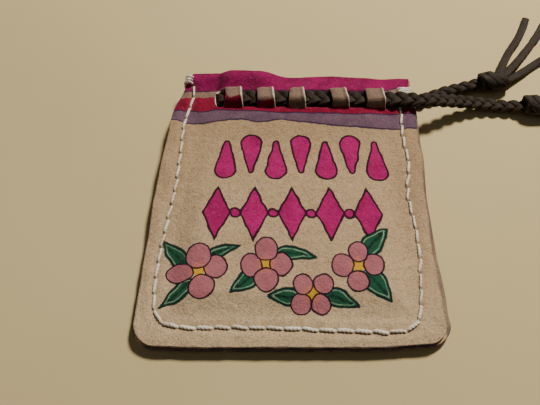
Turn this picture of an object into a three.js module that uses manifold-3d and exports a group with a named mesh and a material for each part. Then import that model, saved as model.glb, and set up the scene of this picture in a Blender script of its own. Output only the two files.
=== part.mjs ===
// A small flat drawstring pouch of soft buckskin, lying on its back with its painted front up.
//
// Two leather panels are sewn together down the left side, along the foot and up the right side with one
// waxed thread. A braid of three leather laces runs through vertical slits below the mouth, out along the
// front panel and back along the back panel. Both ends leave at the right side and finish in a knot with
// three loose lace tails.
//
// Millimetres. +X to the right, +Y towards the mouth, +Z up out of the painted front. The origin is under the
// middle of the pouch, on the surface that its back lies on.

import * as THREE from 'three';
import { mergeVertices } from 'three/addons/utils/BufferGeometryUtils.js';
import Module from 'manifold-3d';

const wasm = await Module();
wasm.setup();

// ---------------------------------------------------------------- driving dimensions

const LEATHER = 1.3;            // thickness of each panel
const SEAM_GAP = 0.3;           // between the two panels where they are sewn
const SEAM_FLAT = 8.0;          // width of the flat sewn margin
const FRONT_MID = 6.95;         // height of the middle of the front leather over the cavity
const BACK_MID = LEATHER / 2;   // the back leather lies flat on the surface

const BRAID_W = 6.4;            // width of the braid
const BRAID_T = 3.8;            // thickness of the braid
const FIT = 0.3;                // free space around the braid where it is woven
const WEAVE_Y = 39.4;           // line of the braid, from the middle of the pouch
const SLIT_HALF = 6.1;          // half the length of a slit
const SLIT_FULL = 2.4;          // half the length over which a strap stands at its full height
const ZB = LEATHER + FIT + BRAID_T / 2;                          // braid on the back run
const ZF = ZB + BRAID_T + 2 * FIT + LEATHER;                     // braid on the front run
const STRAP_F = ZF + BRAID_T / 2 + FIT + LEATHER / 2;            // front leather over the braid
const WINDOW_F = ZF - BRAID_T / 2 - FIT - LEATHER / 2;           // front leather under the braid
const WINDOW_B = ZB + BRAID_T / 2 + FIT + LEATHER / 2;           // back leather over the braid
const TURN_X = -23.35;          // centre of the turn inside the pouch, behind the first slit

const THREAD_R = 0.5;           // waxed thread
const THREAD_LIFT = 0.12;       // clear space under each stitch
const HOLE_R = 0.85;            // punched hole
const STITCH = 5.3;             // stitch length

const LACE_W = 3.1;             // one loose lace tail
const LACE_T = 1.5;

// Outline of the front panel, going round: side edges as [y, x], foot and mouth as [x, y].
const LEFT_EDGE = [[-53, -47.3], [-44, -47.5], [-37, -47.5], [-31, -47.3], [-23, -47.2], [-15, -46.9], [-3, -46.8], [9, -46.1], [18, -45.3], [26, -44.7], [33, -44.2], [36, -43.8], [39.4, -43.2], [42.2, -42.1], [45.5, -41.0], [48.8, -40.1], [53, -39.2]];
const RIGHT_EDGE = [[-53, 47.5], [-46, 47.8], [-43, 47.1], [-36, 47.4], [-30, 47.2], [-21, 46.6], [-9.5, 47.3], [0.4, 46.9], [9, 47.4], [16, 47.8], [22, 47.3], [29, 47.5], [37, 47.8], [46, 46.8], [53, 47.4]];
const FOOT = [[-48, -52.7], [-36, -53.0], [-30, -53.2], [-15, -53.0], [9, -52.7], [28, -52.4], [38, -51.4], [48, -51.0]];
const MOUTH = [[-40, 52.2], [-35.5, 53.1], [-30, 52.9], [-15, 53.2], [-5, 53.0], [4, 52.8], [16, 53.0], [36, 52.7], [48, 53.2]];
const CORNER = 7.0;             // radius of the two foot corners

// Slits in the front, left to right: position and half the width that it stands open in the middle.
const FRONT_SLITS = [[-26.15, 2.25], [-17.9, 0.35], [-12.2, 0.35], [-5.8, 0.35], [-0.1, 0.35], [5.7, 0.35], [15.7, 0.35], [21.8, 0.35], [28.9, 0.35], [35.7, 0.35]];
const BACK_SLITS = [[-11.4, 0.3], [-6.6, 0.3], [0.7, 0.3], [4.9, 0.3], [16.5, 0.3], [21.0, 0.3], [29.7, 0.3]];

// Line of the stitches, from the top of the left side round to the top of the right side.
const SEAM = [[-37.0, 47.6], [-36.7, 43.0], [-37.5, 39.8], [-37.9, 36.0], [-38.9, 31.6], [-39.3, 24.0], [-39.2, 16.0], [-39.6, 9.6], [-39.8, 3.0], [-40.6, -3.5], [-40.9, -9.0], [-41.6, -14.5], [-42.0, -20.0], [-42.2, -28.0], [-41.4, -42.2], [-40.3, -45.2], [-37.2, -46.9], [-31.7, -47.2], [-14, -47.5], [2.9, -47.2], [20, -47.4], [34.5, -46.9], [38.0, -45.8], [39.8, -41.5], [40.9, -31.4], [41.6, -17.7], [42.4, 5.3], [43.1, 24], [43.5, 34], [43.7, 45.2]];

// Free ends of the braid, from the last slit to the knot.
const FRONT_END = [[36.6, 39.4, 9.3], [39.5, 39.4, 10.0], [42.7, 39.4, 11.05], [46.4, 39.3, 11.4], [50.4, 39.3, 11.0], [54.8, 39.8, 9.9], [59.6, 41.1, 8.2], [64.5, 42.6, 6.2], [69.5, 43.7, 4.5], [74.5, 44.4, 3.2], [79.5, 44.5, 2.4], [84.3, 44.2, 2.05], [88.6, 43.9, 2.0], [91.4, 43.7, 2.1]];
const BACK_END = [[30.6, 39.4, 3.3], [32.8, 39.4, 2.6], [35.0, 39.4, 2.03], [39.5, 39.5, 1.98], [44.0, 40.4, 1.98], [48.0, 42.6, 1.98], [52.0, 45.2, 1.98], [56.4, 47.8, 1.98], [61.2, 50.2, 1.98], [66.2, 52.2, 1.98], [71.2, 53.8, 2.0], [76.4, 54.9, 2.1]];
const KNOT_BACK = { at: [82.7, 56.3, 3.75], turn: 13.0 };
const KNOT_FRONT = { at: [97.7, 43.5, 3.75], turn: 3.0 };
const KNOT = [5.8, 4.5, 3.65];  // half sizes of a knot along, across and up

// Loose lace tails, from the knot to the cut end.
const TAILS_BACK = [
  [[86.0, 62.2, 2.9], [88.6, 66.2, 2.1], [92.0, 71.8, 1.2], [96.0, 78.2, 0.85], [100.4, 84.6, 0.8], [104.6, 91.4, 0.8], [107.8, 98.2, 0.8]],
  [[89.3, 60.8, 2.9], [92.6, 65.0, 2.0], [96.9, 70.5, 1.1], [101.4, 76.4, 0.8], [106.0, 82.4, 0.8], [110.8, 88.8, 0.8], [114.6, 94.6, 0.8]],
  [[90.6, 57.4, 2.8], [94.6, 60.2, 1.8], [99.2, 63.6, 1.0], [104.2, 67.4, 0.8], [109.4, 71.4, 0.8], [114.2, 75.2, 0.8], [118.6, 79.6, 0.8]],
];
const TAILS_FRONT = [
  [[103.5, 47.0, 2.9], [107.6, 50.4, 1.8], [112.0, 54.8, 1.0], [116.4, 60.2, 0.8], [120.2, 66.4, 0.8], [123.2, 72.6, 0.8]],
  [[104.1, 43.75, 3.0], [109.0, 45.2, 1.8], [114.8, 48.0, 1.0], [120.2, 51.9, 0.8], [125.2, 56.6, 0.8], [129.4, 62.2, 0.8]],
  [[103.5, 40.5, 2.9], [108.8, 39.7, 1.8], [114.9, 39.9, 1.0], [121.0, 41.3, 0.8], [127.0, 43.9, 0.8], [132.4, 48.0, 0.8]],
];

// ---------------------------------------------------------------- helpers

const clamp01 = (t) => Math.min(1, Math.max(0, t));
const ease = (a, b, x) => { const t = clamp01((x - a) / (b - a)); return t * t * (3 - 2 * t); };
const mix = (a, b, t) => a + (b - a) * t;
const table = (rows, x) => {
  if (x <= rows[0][0]) return rows[0][1];
  for (let i = 1; i < rows.length; i++) {
    if (x <= rows[i][0]) return mix(rows[i - 1][1], rows[i][1], (x - rows[i - 1][0]) / (rows[i][0] - rows[i - 1][0]));
  }
  return rows[rows.length - 1][1];
};

// Height of the joint between the two sewn panels: low at the foot, lifted beside the mouth, and lifted most
// where the braid leaves under the right side.
const jointHeight = (x, y) => {
  const left = 2.6 + 3.4 * ease(-35, 36, y);
  const right = 2.6 + 4.0 * ease(-25, 33, y);
  return mix(left, right, clamp01((x + 40) / 80));
};

const cornerInset = (height) => {
  const h = Math.max(0, height);
  return h >= CORNER ? 0 : CORNER - Math.sqrt(CORNER * CORNER - (CORNER - h) * (CORNER - h));
};
const leftAt = (y, grow) => table(LEFT_EDGE, y) - grow + cornerInset(y - (table(FOOT, -44) - grow));
const rightAt = (y, grow) => table(RIGHT_EDGE, y) + grow - cornerInset(y - (table(FOOT, 44) - grow));
const marginAt = (x, y) => Math.min(x - table(LEFT_EDGE, y), table(RIGHT_EDGE, y) - x, y - table(FOOT, x));

const lipWave = (x) => 2.6 * Math.exp(-(((x + 16) / 7.5) ** 2)) - 0.9 * Math.exp(-(((x - 3) / 8) ** 2)) - 0.6 * Math.exp(-(((x - 34) / 7) ** 2));

const frontBase = (x, y) => {
  const crown = mix(FRONT_MID, 8.65, ease(20, 33, y)) + lipWave(x) * ease(45, 53, y) - 0.5 * ease(46, 53, y);
  return mix(jointHeight(x, y) + (SEAM_GAP + LEATHER) / 2, crown, ease(SEAM_FLAT, 18, marginAt(x, y)));
};
const backBase = (x, y) => {
  const crown = mix(BACK_MID, 3.0, ease(26, 33, y)) + 0.6 * ease(46, 53, y);
  return mix(jointHeight(x, y) - (SEAM_GAP + LEATHER) / 2, crown, ease(SEAM_FLAT, 17, marginAt(x, y)));
};
const weave = (y) => clamp01((SLIT_HALF - Math.abs(y - WEAVE_Y)) / (SLIT_HALF - SLIT_FULL));

// Middle height of the front leather in each strip between two slits.
const frontLevel = (strip, x, y) => {
  const base = frontBase(x, y);
  if (strip === 'over') return mix(base, STRAP_F, weave(y));
  if (strip === 'under') return mix(base, WINDOW_F, weave(y));
  if (strip === 'margin') return mix(base, mix(WINDOW_F, jointHeight(44, WEAVE_Y) + (SEAM_GAP + LEATHER) / 2, ease(36, 44, x)), weave(y));
  return base;
};
const backLevel = (strip, x, y) => {
  const base = backBase(x, y);
  if (strip === 'over') return mix(base, WINDOW_B, weave(y));
  if (strip === 'under') return mix(base, BACK_MID, weave(y) * ease(-37, -30, x));
  if (strip === 'margin') return mix(base, mix(WINDOW_B, mix(4.75, jointHeight(44, WEAVE_Y) - (SEAM_GAP + LEATHER) / 2, ease(36, 44, x)), ease(31.5, 35.2, x)), weave(y));
  return base;
};

// A sheet of leather as one closed solid. The sheet is a grid: cols run left to right, and a column that
// is a slit has two edges between the slit's ends. Every rim of the sheet is closed by a wall.
function leatherPanel({ cols, stripOf, level, grow }) {
  const up = [0, 0.6, 1.7, 3.3, 5.4, 8.0, 11.5];
  const rows = [
    ...up.map((h) => (x) => table(FOOT, x) - grow + h),
    ...[-34, -26, -17, -7, 3, 12, 20, 26.5, 30.6].map((y) => () => y),
    ...[-SLIT_HALF, -4.8, -3.5, -SLIT_FULL, 0, SLIT_FULL, 3.5, 4.8, SLIT_HALF].map((d) => () => WEAVE_Y + d),
    () => 48.4,
    () => 50.9,
    (x) => table(MOUTH, x) + grow * 0.3,
  ];
  const inSlit = (i) => i > 16 && i < 24;
  const points = [];
  const put = (x, y, strip) => { points.push([x, y, level(strip, x, y)]); return points.length - 1; };
  const grid = rows.map((row, i) => cols.map((col, j) => {
    let x = col.x;
    let y = row(x ?? (col.left !== undefined ? -40 : 40));
    if (col.left !== undefined) {
      const edge = leftAt(y, grow);
      x = mix(edge, cols.find((c) => c.x !== undefined).x, col.left);
      y = row(x);
    }
    if (col.right !== undefined) {
      const edge = rightAt(y, grow);
      x = mix(cols.findLast((c) => c.x !== undefined).x, edge, col.right);
      y = row(x);
    }
    if (col.open !== undefined && inSlit(i)) {
      const half = col.open * (1 - ((y - WEAVE_Y) / SLIT_HALF) ** 2);
      return [put(x - half, y, stripOf(j - 1)), put(x + half, y, stripOf(j))];
    }
    const v = put(x, y, stripOf(j));
    return [v, v];
  }));
  const faces = [];
  for (let i = 0; i + 1 < grid.length; i++) {
    for (let j = 0; j + 1 < cols.length; j++) {
      const a = grid[i][j][1], b = grid[i][j + 1][0], c = grid[i + 1][j + 1][0], d = grid[i + 1][j][1];
      if ((i + j) % 2) faces.push([a, b, c], [a, c, d]);
      else faces.push([a, b, d], [b, c, d]);
    }
  }
  const n = points.length;
  const edges = new Set();
  for (const [a, b, c] of faces) edges.add(`${a},${b}`).add(`${b},${c}`).add(`${c},${a}`);
  const index = [];
  for (const [a, b, c] of faces) index.push(a, b, c, c + n, b + n, a + n);
  for (const e of edges) {
    const [a, b] = e.split(',').map(Number);
    if (!edges.has(`${b},${a}`)) index.push(b, a, a + n, b, a + n, b + n);
  }
  const position = [];
  for (const s of [0.5, -0.5]) for (const p of points) position.push(p[0], p[1], p[2] + s * LEATHER);
  const geometry = new THREE.BufferGeometry();
  geometry.setAttribute('position', new THREE.Float32BufferAttribute(position, 3));
  geometry.setIndex(index);
  // Height of the middle of the leather at a point, on the sheet's own facets.
  const heightAt = (x, y) => {
    for (const [a, b, c] of faces) {
      const [p, q, r] = [points[a], points[b], points[c]];
      const d = (q[0] - p[0]) * (r[1] - p[1]) - (r[0] - p[0]) * (q[1] - p[1]);
      const s = ((x - p[0]) * (r[1] - p[1]) - (r[0] - p[0]) * (y - p[1])) / d;
      const t = ((q[0] - p[0]) * (y - p[1]) - (x - p[0]) * (q[1] - p[1])) / d;
      if (s >= -1e-6 && t >= -1e-6 && s + t <= 1 + 1e-6) return p[2] + s * (q[2] - p[2]) + t * (r[2] - p[2]);
    }
    return level('plain', x, y);
  };
  return { geometry, heightAt };
}

// A path through given points, straight from each to the next or rounded. A flat section keeps its width
// level with the surface, or along the direction side where one is given.
class Route extends THREE.Curve {
  constructor(points, rounded, side) {
    super();
    this.side = side;
    this.points = points.map((p) => new THREE.Vector3(...p));
    this.smooth = rounded ? new THREE.CatmullRomCurve3(this.points, false, 'centripetal') : null;
  }
  getPoint(t, target = new THREE.Vector3()) {
    const n = this.points.length - 1;
    const k = Math.min(n - 1, Math.floor(t * n + 1e-9));
    return this.smooth ? this.smooth.getPoint(t, target) : target.copy(this.points[k]).lerp(this.points[k + 1], t * n - k);
  }
  getPointAt(u, target) { return this.getPoint(u, target); }
  getTangent(t, target = new THREE.Vector3()) {
    const d = 0.25 / (this.points.length - 1);
    return target.copy(this.getPoint(Math.min(1, t + d))).sub(this.getPoint(Math.max(0, t - d))).normalize();
  }
  getTangentAt(u, target) { return this.getTangent(u, target); }
  computeFrenetFrames(segments) {
    const tangents = [], normals = [], binormals = [];
    for (let k = 0; k <= segments; k++) {
      const t = this.getTangentAt(k / segments, new THREE.Vector3());
      const b = this.side ? new THREE.Vector3(...this.side) : new THREE.Vector3(-t.y, t.x, 0).normalize();
      tangents.push(t);
      binormals.push(b);
      normals.push(new THREE.Vector3().crossVectors(b, t).normalize());
    }
    return { tangents, normals, binormals };
  }
}

// Eight-sided section of a flat cord: first its thickness, then its width.
const flatSection = (thick, wide) => {
  const t = thick / 2, w = wide / 2;
  return new THREE.Shape([[t, -w * 0.62], [t, w * 0.62], [t * 0.42, w], [-t * 0.42, w], [-t, w * 0.62], [-t, -w * 0.62], [-t * 0.42, -w], [t * 0.42, -w]].map(([x, y]) => new THREE.Vector2(x, y)));
};
const roundSection = (r, sides) => new THREE.Shape(Array.from({ length: sides }, (_, k) => new THREE.Vector2(r * Math.cos((2 * Math.PI * (k + 0.5)) / sides), r * Math.sin((2 * Math.PI * (k + 0.5)) / sides))));
const sweep = (section, points, { rounded = false, side = null, steps = points.length - 1 } = {}) =>
  new THREE.ExtrudeGeometry(section, { steps, bevelEnabled: false, extrudePath: new Route(points, rounded, side) });

const toSolid = (geometry) => {
  const g = geometry.clone();
  g.deleteAttribute('normal');
  g.deleteAttribute('uv');
  const m = mergeVertices(g, 1e-4);
  const solid = new wasm.Manifold(new wasm.Mesh({ numProp: 3, vertProperties: new Float32Array(m.attributes.position.array), triVerts: new Uint32Array(m.index.array) }));
  return solid;
};
const toGeometry = (solid) => {
  const mesh = solid.getMesh();
  const g = new THREE.BufferGeometry();
  g.setAttribute('position', new THREE.Float32BufferAttribute(mesh.vertProperties, 3));
  g.setIndex(Array.from(mesh.triVerts));
  return g;
};

// ---------------------------------------------------------------- where the thread goes

const seamCurve = new THREE.CatmullRomCurve3(SEAM.map(([x, y]) => new THREE.Vector3(x, y, 0)), false, 'centripetal');
seamCurve.arcLengthDivisions = 1200;
const STITCHES = Math.round(seamCurve.getLength() / STITCH);
const holes = seamCurve.getSpacedPoints(STITCHES).map((p) => [p.x, p.y]);
// Edge loops of the two bar tacks: hole beside the edge, and the direction of the edge.
const tacks = [
  { y: 50.2, hole: -37.2, edge: leftAt(50.2, 0.5) - 0.75 },
  { y: 48.9, hole: -37.4, edge: leftAt(48.9, 0.5) - 0.75 },
  { y: 46.3, hole: 43.8, edge: rightAt(46.3, 0.5) + 0.75 },
  { y: 47.3, hole: 43.9, edge: rightAt(47.3, 0.5) + 0.75 },
];
const allHoles = [...holes, ...tacks.map((t) => [t.hole, t.y])];

// ---------------------------------------------------------------- panels

const between = (slits, kinds) => (x) => kinds[slits.filter(([s]) => x > s).length];

const frontCols = [
  { left: 0 }, { left: 0.26 }, { left: 0.52 }, { left: 0.78 }, { x: -31 },
  { x: -26.15, open: 2.25 }, { x: -20.9 }, { x: -17.9, open: 0.35 }, { x: -12.2, open: 0.35 }, { x: -5.8, open: 0.35 }, { x: -0.1, open: 0.35 },
  { x: 5.7, open: 0.35 }, { x: 10.7 }, { x: 15.7, open: 0.35 }, { x: 21.8, open: 0.35 }, { x: 28.9, open: 0.35 }, { x: 35.7, open: 0.35 }, { x: 38.2 },
  { right: 0.34 }, { right: 0.67 }, { right: 1 },
];
const backCols = [
  { left: 0 }, { left: 0.26 }, { left: 0.52 }, { left: 0.78 }, { x: -31 }, { x: -25 }, { x: -18 },
  { x: -11.4, open: 0.3 }, { x: -6.6, open: 0.3 }, { x: -3 }, { x: 0.7, open: 0.3 }, { x: 4.9, open: 0.3 }, { x: 10.7 },
  { x: 16.5, open: 0.3 }, { x: 21.0, open: 0.3 }, { x: 25.4 }, { x: 29.7, open: 0.3 }, { x: 32.2 }, { x: 35.4 }, { x: 38.2 },
  { right: 0.34 }, { right: 0.67 }, { right: 1 },
];
const frontKinds = between(FRONT_SLITS, ['plain', 'over', 'under', 'over', 'under', 'over', 'under', 'over', 'under', 'over', 'margin']);
const backKinds = between(BACK_SLITS, ['under', 'over', 'under', 'over', 'under', 'over', 'under', 'margin']);
const stripFor = (cols, kinds) => (j) => {
  const c = cols[j];
  if (c.left !== undefined) return kinds(-40);
  if (c.right !== undefined) return kinds(44);
  return kinds(c.x + 0.01);
};

const needle = (x, y) => new THREE.CylinderGeometry(HOLE_R, HOLE_R, 6, 5).rotateX(Math.PI / 2).translate(x, y, jointHeight(x, y));
const punched = (sheet) => {
  let solid = toSolid(sheet);
  const pins = allHoles.map(([x, y]) => toSolid(needle(x, y)));
  const cutter = pins.reduce((a, b) => a.add(b));
  return toGeometry(solid.subtract(cutter));
};

const frontSheet = leatherPanel({ cols: frontCols, stripOf: stripFor(frontCols, frontKinds), level: frontLevel, grow: 0 });
const backSheet = leatherPanel({ cols: backCols, stripOf: stripFor(backCols, backKinds), level: backLevel, grow: 0.5 });
const frontPanel = punched(frontSheet.geometry);
const backPanel = punched(backSheet.geometry);
const topOf = (x, y) => frontSheet.heightAt(x, y) + LEATHER / 2;
const undersideOf = (x, y) => backSheet.heightAt(x, y) - LEATHER / 2;

// ---------------------------------------------------------------- thread

// One line of stitches on one face: it dips into each hole and bridges the leather between.
const stitchLine = (face, sign) => {
  const out = [];
  const over = sign * (THREAD_LIFT + THREAD_R);
  for (let k = 0; k < holes.length; k++) {
    const [x, y] = holes[k];
    out.push([x, y, face(x, y) + sign * 0.12]);
    if (k + 1 < holes.length) {
      const [u, v] = holes[k + 1];
      for (const t of [0.16, 0.84]) out.push([mix(x, u, t), mix(y, v, t), face(mix(x, u, t), mix(y, v, t)) + over]);
    }
  }
  return sweep(roundSection(THREAD_R, 5), out);
};
const post = (x, y) => new THREE.CylinderGeometry(0.36, 0.36, 2 * LEATHER + SEAM_GAP + 0.2, 4).rotateX(Math.PI / 2).translate(x, y, jointHeight(x, y));
const edgeLoop = ({ y, hole, edge }) => {
  const top = topOf(hole, y) + THREAD_LIFT + THREAD_R + 0.05, low = undersideOf(hole, y) - THREAD_LIFT - THREAD_R - 0.05;
  const mid = jointHeight(hole, y), s = Math.sign(edge - hole);
  return sweep(roundSection(THREAD_R, 5), [[hole, y, mid - 0.2], [hole, y, top - 0.5], [hole + s * 0.7, y, top], [edge - s * 0.5, y, top], [edge, y, top - 0.7], [edge, y, low + 0.7], [edge - s * 0.5, y, low], [hole + s * 0.7, y, low], [hole, y, low + 0.5], [hole, y, mid + 0.2]], { side: [0, 1, 0] });
};
// Short runs that join each edge loop to the seam beside it.
const link = (x, y, u, v) => sweep(roundSection(THREAD_R, 5), [[x, y, topOf(x, y) + 0.12], [mix(x, u, 0.3), mix(y, v, 0.3), topOf(mix(x, u, 0.3), mix(y, v, 0.3)) + THREAD_LIFT + THREAD_R], [mix(x, u, 0.7), mix(y, v, 0.7), topOf(mix(x, u, 0.7), mix(y, v, 0.7)) + THREAD_LIFT + THREAD_R], [u, v, topOf(u, v) + 0.12]]);

let thread = toSolid(stitchLine(topOf, 1)).add(toSolid(stitchLine(undersideOf, -1)));
for (const [x, y] of holes) thread = thread.add(toSolid(post(x, y)));
for (const t of tacks) thread = thread.add(toSolid(edgeLoop(t)));
const first = holes[0], last = holes[holes.length - 1];
thread = thread.add(toSolid(link(first[0], first[1], tacks[1].hole, tacks[1].y))).add(toSolid(link(tacks[1].hole, tacks[1].y, tacks[0].hole, tacks[0].y)));
thread = thread.add(toSolid(link(last[0], last[1], tacks[2].hole, tacks[2].y))).add(toSolid(link(tacks[2].hole, tacks[2].y, tacks[3].hole, tacks[3].y)));
const seamThread = toGeometry(thread);

// ---------------------------------------------------------------- braid, knots and tails

// Woven run: in along the front from the right, round the turn inside, and back along the back panel.
const radius = (ZF - ZB) / 2;
const turn = Array.from({ length: 9 }, (_, k) => Math.PI / 2 + (Math.PI * k) / 8).map((a) => [TURN_X + radius * Math.cos(a), WEAVE_Y, (ZF + ZB) / 2 + radius * Math.sin(a)]);
const along = (from, to, n, z) => Array.from({ length: n }, (_, k) => [mix(from, to, k / n), WEAVE_Y, z]);
const woven = [...along(36.0, TURN_X, 5, ZF), ...turn, ...along(29.95, TURN_X, 4, ZB).reverse().map((p) => p)];
const wovenBraid = sweep(flatSection(BRAID_T, BRAID_W), woven, { side: [0, -1, 0] });

const cordEnd = (points) => sweep(flatSection(BRAID_T, BRAID_W), points, { rounded: true, steps: points.length - 1 });
const tail = (points) => sweep(flatSection(LACE_T, LACE_W), points, { rounded: true, steps: points.length - 1 });

// A pulled overhand knot: a short barrel with a waist, a little flat on top and below.
const knotShape = () => {
  const profile = [[0, -1], [0.55, -0.93], [0.86, -0.66], [0.98, -0.32], [0.9, 0], [1.0, 0.34], [0.87, 0.68], [0.55, 0.93], [0, 1]];
  return new THREE.LatheGeometry(profile.map(([r, h]) => new THREE.Vector2(r, h)), 12).rotateZ(-Math.PI / 2).scale(KNOT[0], KNOT[1], KNOT[2]);
};

// ---------------------------------------------------------------- scene graph

const suede = new THREE.MeshStandardMaterial({ color: 0xb39873, roughness: 0.95, metalness: 0 });
const suedeBack = new THREE.MeshStandardMaterial({ color: 0xa88f6d, roughness: 0.95, metalness: 0 });
const sinew = new THREE.MeshStandardMaterial({ color: 0xdcd3c2, roughness: 0.6, metalness: 0 });
const darkLace = new THREE.MeshStandardMaterial({ color: 0x3a332d, roughness: 0.7, metalness: 0 });

const group = new THREE.Group();
const addPiece = (name, geometry, material) => {
  const mesh = new THREE.Mesh(geometry, material);
  mesh.name = name;
  group.add(mesh);
  return mesh;
};

addPiece('front_panel', frontPanel, suede);
addPiece('back_panel', backPanel, suedeBack);
addPiece('seam_thread', seamThread, sinew);
addPiece('drawstring_woven', wovenBraid, darkLace);
addPiece('drawstring_end_front', cordEnd(FRONT_END), darkLace);
addPiece('drawstring_end_back', cordEnd(BACK_END), darkLace);
for (const [name, knot] of [['end_knot_front', KNOT_FRONT], ['end_knot_back', KNOT_BACK]]) {
  const mesh = addPiece(name, knotShape(), darkLace);
  mesh.position.set(...knot.at);
  mesh.rotation.z = THREE.MathUtils.degToRad(knot.turn);
}
TAILS_FRONT.forEach((points, k) => addPiece(`lace_tail_front_${k + 1}`, tail(points), darkLace));
TAILS_BACK.forEach((points, k) => addPiece(`lace_tail_back_${k + 1}`, tail(points), darkLace));

export default group;
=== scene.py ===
# Looks of the leather drawstring pouch: painted suede panels, waxed stitches, a braided lace and its knots.
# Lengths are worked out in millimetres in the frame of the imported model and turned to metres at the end.
import math
import numpy as np
import bpy
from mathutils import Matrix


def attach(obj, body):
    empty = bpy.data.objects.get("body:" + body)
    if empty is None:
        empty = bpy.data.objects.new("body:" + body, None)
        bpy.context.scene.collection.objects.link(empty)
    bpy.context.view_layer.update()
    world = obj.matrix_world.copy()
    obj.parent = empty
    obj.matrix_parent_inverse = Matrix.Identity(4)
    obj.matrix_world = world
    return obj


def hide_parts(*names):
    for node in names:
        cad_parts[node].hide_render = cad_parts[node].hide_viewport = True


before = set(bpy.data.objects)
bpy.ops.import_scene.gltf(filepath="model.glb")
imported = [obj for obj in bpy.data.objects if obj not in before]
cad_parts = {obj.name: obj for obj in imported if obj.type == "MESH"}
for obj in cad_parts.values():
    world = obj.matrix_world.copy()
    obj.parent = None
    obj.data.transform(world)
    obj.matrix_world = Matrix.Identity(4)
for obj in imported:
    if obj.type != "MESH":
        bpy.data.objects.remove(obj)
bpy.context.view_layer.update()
BODY = "root"
MM = 0.001

# ------------------------------------------------------------------ camera first, then the cords

cam_data = bpy.data.cameras.new("camera")
cam = bpy.data.objects.new("camera", cam_data)
bpy.context.scene.collection.objects.link(cam)
cam_data.sensor_width = 36.0
cam_data.lens = 36.0 * 513.5 / 540.0
cam_data.clip_start = 0.005
E, PSI = math.radians(58.5), math.radians(0.8)
cam.location = (-0.0054, -0.09572, 0.15566)
cam.rotation_euler = (math.pi / 2 - E, 0.0, PSI)
bpy.context.scene.camera = cam

# ------------------------------------------------------------------ dimensions, as in the solid model

LEATHER, SEAM_GAP, SEAM_FLAT = 1.3, 0.3, 8.0
FRONT_MID, BACK_MID = 6.95, 0.65
BRAID_W, BRAID_T, FIT = 6.4, 3.8, 0.3
WEAVE_Y, SLIT_HALF, SLIT_FULL = 40.6, 4.75, 2.2
ZB = LEATHER + FIT + BRAID_T / 2
ZF = ZB + BRAID_T + 2 * FIT + LEATHER
STRAP_F = ZF + BRAID_T / 2 + FIT + LEATHER / 2
WINDOW_F = ZF - BRAID_T / 2 - FIT - LEATHER / 2
WINDOW_B = ZB + BRAID_T / 2 + FIT + LEATHER / 2
TURN_X = -24.2
CORNER = 7.0
LEFT_EDGE = [(-53, -47.3), (-44, -47.5), (-37, -47.5), (-31, -47.3), (-23, -47.2), (-15, -46.9), (-3, -46.8), (9, -46.1), (18, -45.3), (26, -44.7), (33, -44.2), (36, -43.8), (39.4, -43.2), (42.2, -42.1), (45.5, -41.0), (48.8, -40.1), (53, -39.2)]
RIGHT_EDGE = [(-53, 47.5), (-46, 47.8), (-43, 47.1), (-36, 47.4), (-30, 47.2), (-21, 46.6), (-9.5, 47.3), (0.4, 46.9), (9, 47.4), (16, 47.8), (22, 47.3), (29, 47.5), (37, 47.8), (46, 46.8), (53, 47.4)]
FOOT = [(-48, -52.7), (-36, -53.0), (-30, -53.2), (-15, -53.0), (9, -52.7), (28, -52.4), (38, -51.4), (48, -51.0)]
MOUTH = [(-40, 52.2), (-35.5, 53.1), (-30, 52.9), (-15, 53.2), (-5, 53.0), (4, 52.8), (16, 53.0), (36, 52.7), (48, 53.2)]
FRONT_SLITS = [(-26.15, 2.25), (-17.9, 0.35), (-12.2, 0.35), (-5.8, 0.35), (-0.1, 0.35), (5.7, 0.35), (15.7, 0.35), (21.8, 0.35), (28.9, 0.35), (35.7, 0.35)]
BACK_SLITS = [(-11.4, 0.3), (-6.6, 0.3), (0.7, 0.3), (4.9, 0.3), (16.5, 0.3), (21.0, 0.3), (29.7, 0.3)]
FRONT_KINDS = ["plain", "over", "under", "over", "under", "over", "under", "over", "under", "over", "margin"]
BACK_KINDS = ["under", "over", "under", "over", "under", "over", "under", "margin"]
SEAM = [(-37.0, 47.6), (-36.7, 43.0), (-37.5, 39.8), (-37.9, 36.0), (-38.9, 31.6), (-39.3, 24.0), (-39.2, 16.0), (-39.4, 9.6), (-39.4, 3.0), (-40.3, -3.5), (-40.8, -9.0), (-41.5, -14.5), (-42.1, -20.0), (-42.5, -28.0), (-41.7, -42.2), (-40.4, -45.2), (-37.2, -46.9), (-31.7, -47.2), (-14, -47.2), (2.9, -47.2), (20, -47.9), (34.5, -47.5), (38.0, -46.2), (39.8, -41.5), (41.2, -31.4), (42.1, -24.5), (42.4, -15.5), (42.6, -10.6), (41.6, -6.8), (40.9, -1.0), (41.1, 3.5), (42.1, 8.0), (42.3, 16.0), (41.6, 20.3), (41.7, 27.0), (42.0, 34.0), (42.9, 45.2)]
STITCH = 5.3
FRONT_END = [(36.6, 40.4, 9.3), (40.0, 40.2, 9.7), (43.6, 39.8, 10.2), (47.2, 39.3, 10.4), (50.8, 39.3, 10.3), (54.8, 39.9, 9.8), (59.6, 41.2, 8.2), (64.5, 42.8, 6.2), (69.5, 43.9, 4.4), (74.5, 44.6, 3.1), (79.5, 44.6, 2.3), (84.3, 44.3, 2.1), (88.6, 44.0, 2.3), (93.0, 43.6, 2.9)]
BACK_END = [(30.6, 40.0, 3.3), (32.8, 40.1, 2.6), (35.0, 40.4, 2.1), (39.0, 41.7, 2.0), (43.0, 43.4, 2.0), (46.5, 44.9, 2.0), (50.0, 46.2, 2.0), (54.2, 47.7, 2.0), (58.6, 49.6, 2.0), (63.2, 51.6, 2.0), (68.0, 53.2, 2.0), (72.4, 54.4, 2.3), (76.4, 55.2, 2.9), (79.0, 55.6, 3.3)]
KNOTS = {"front": ((97.7, 43.5, 3.9), 3.0), "back": ((82.7, 56.3, 3.9), 13.0)}
KNOT_SIZE = 0.84
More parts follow.
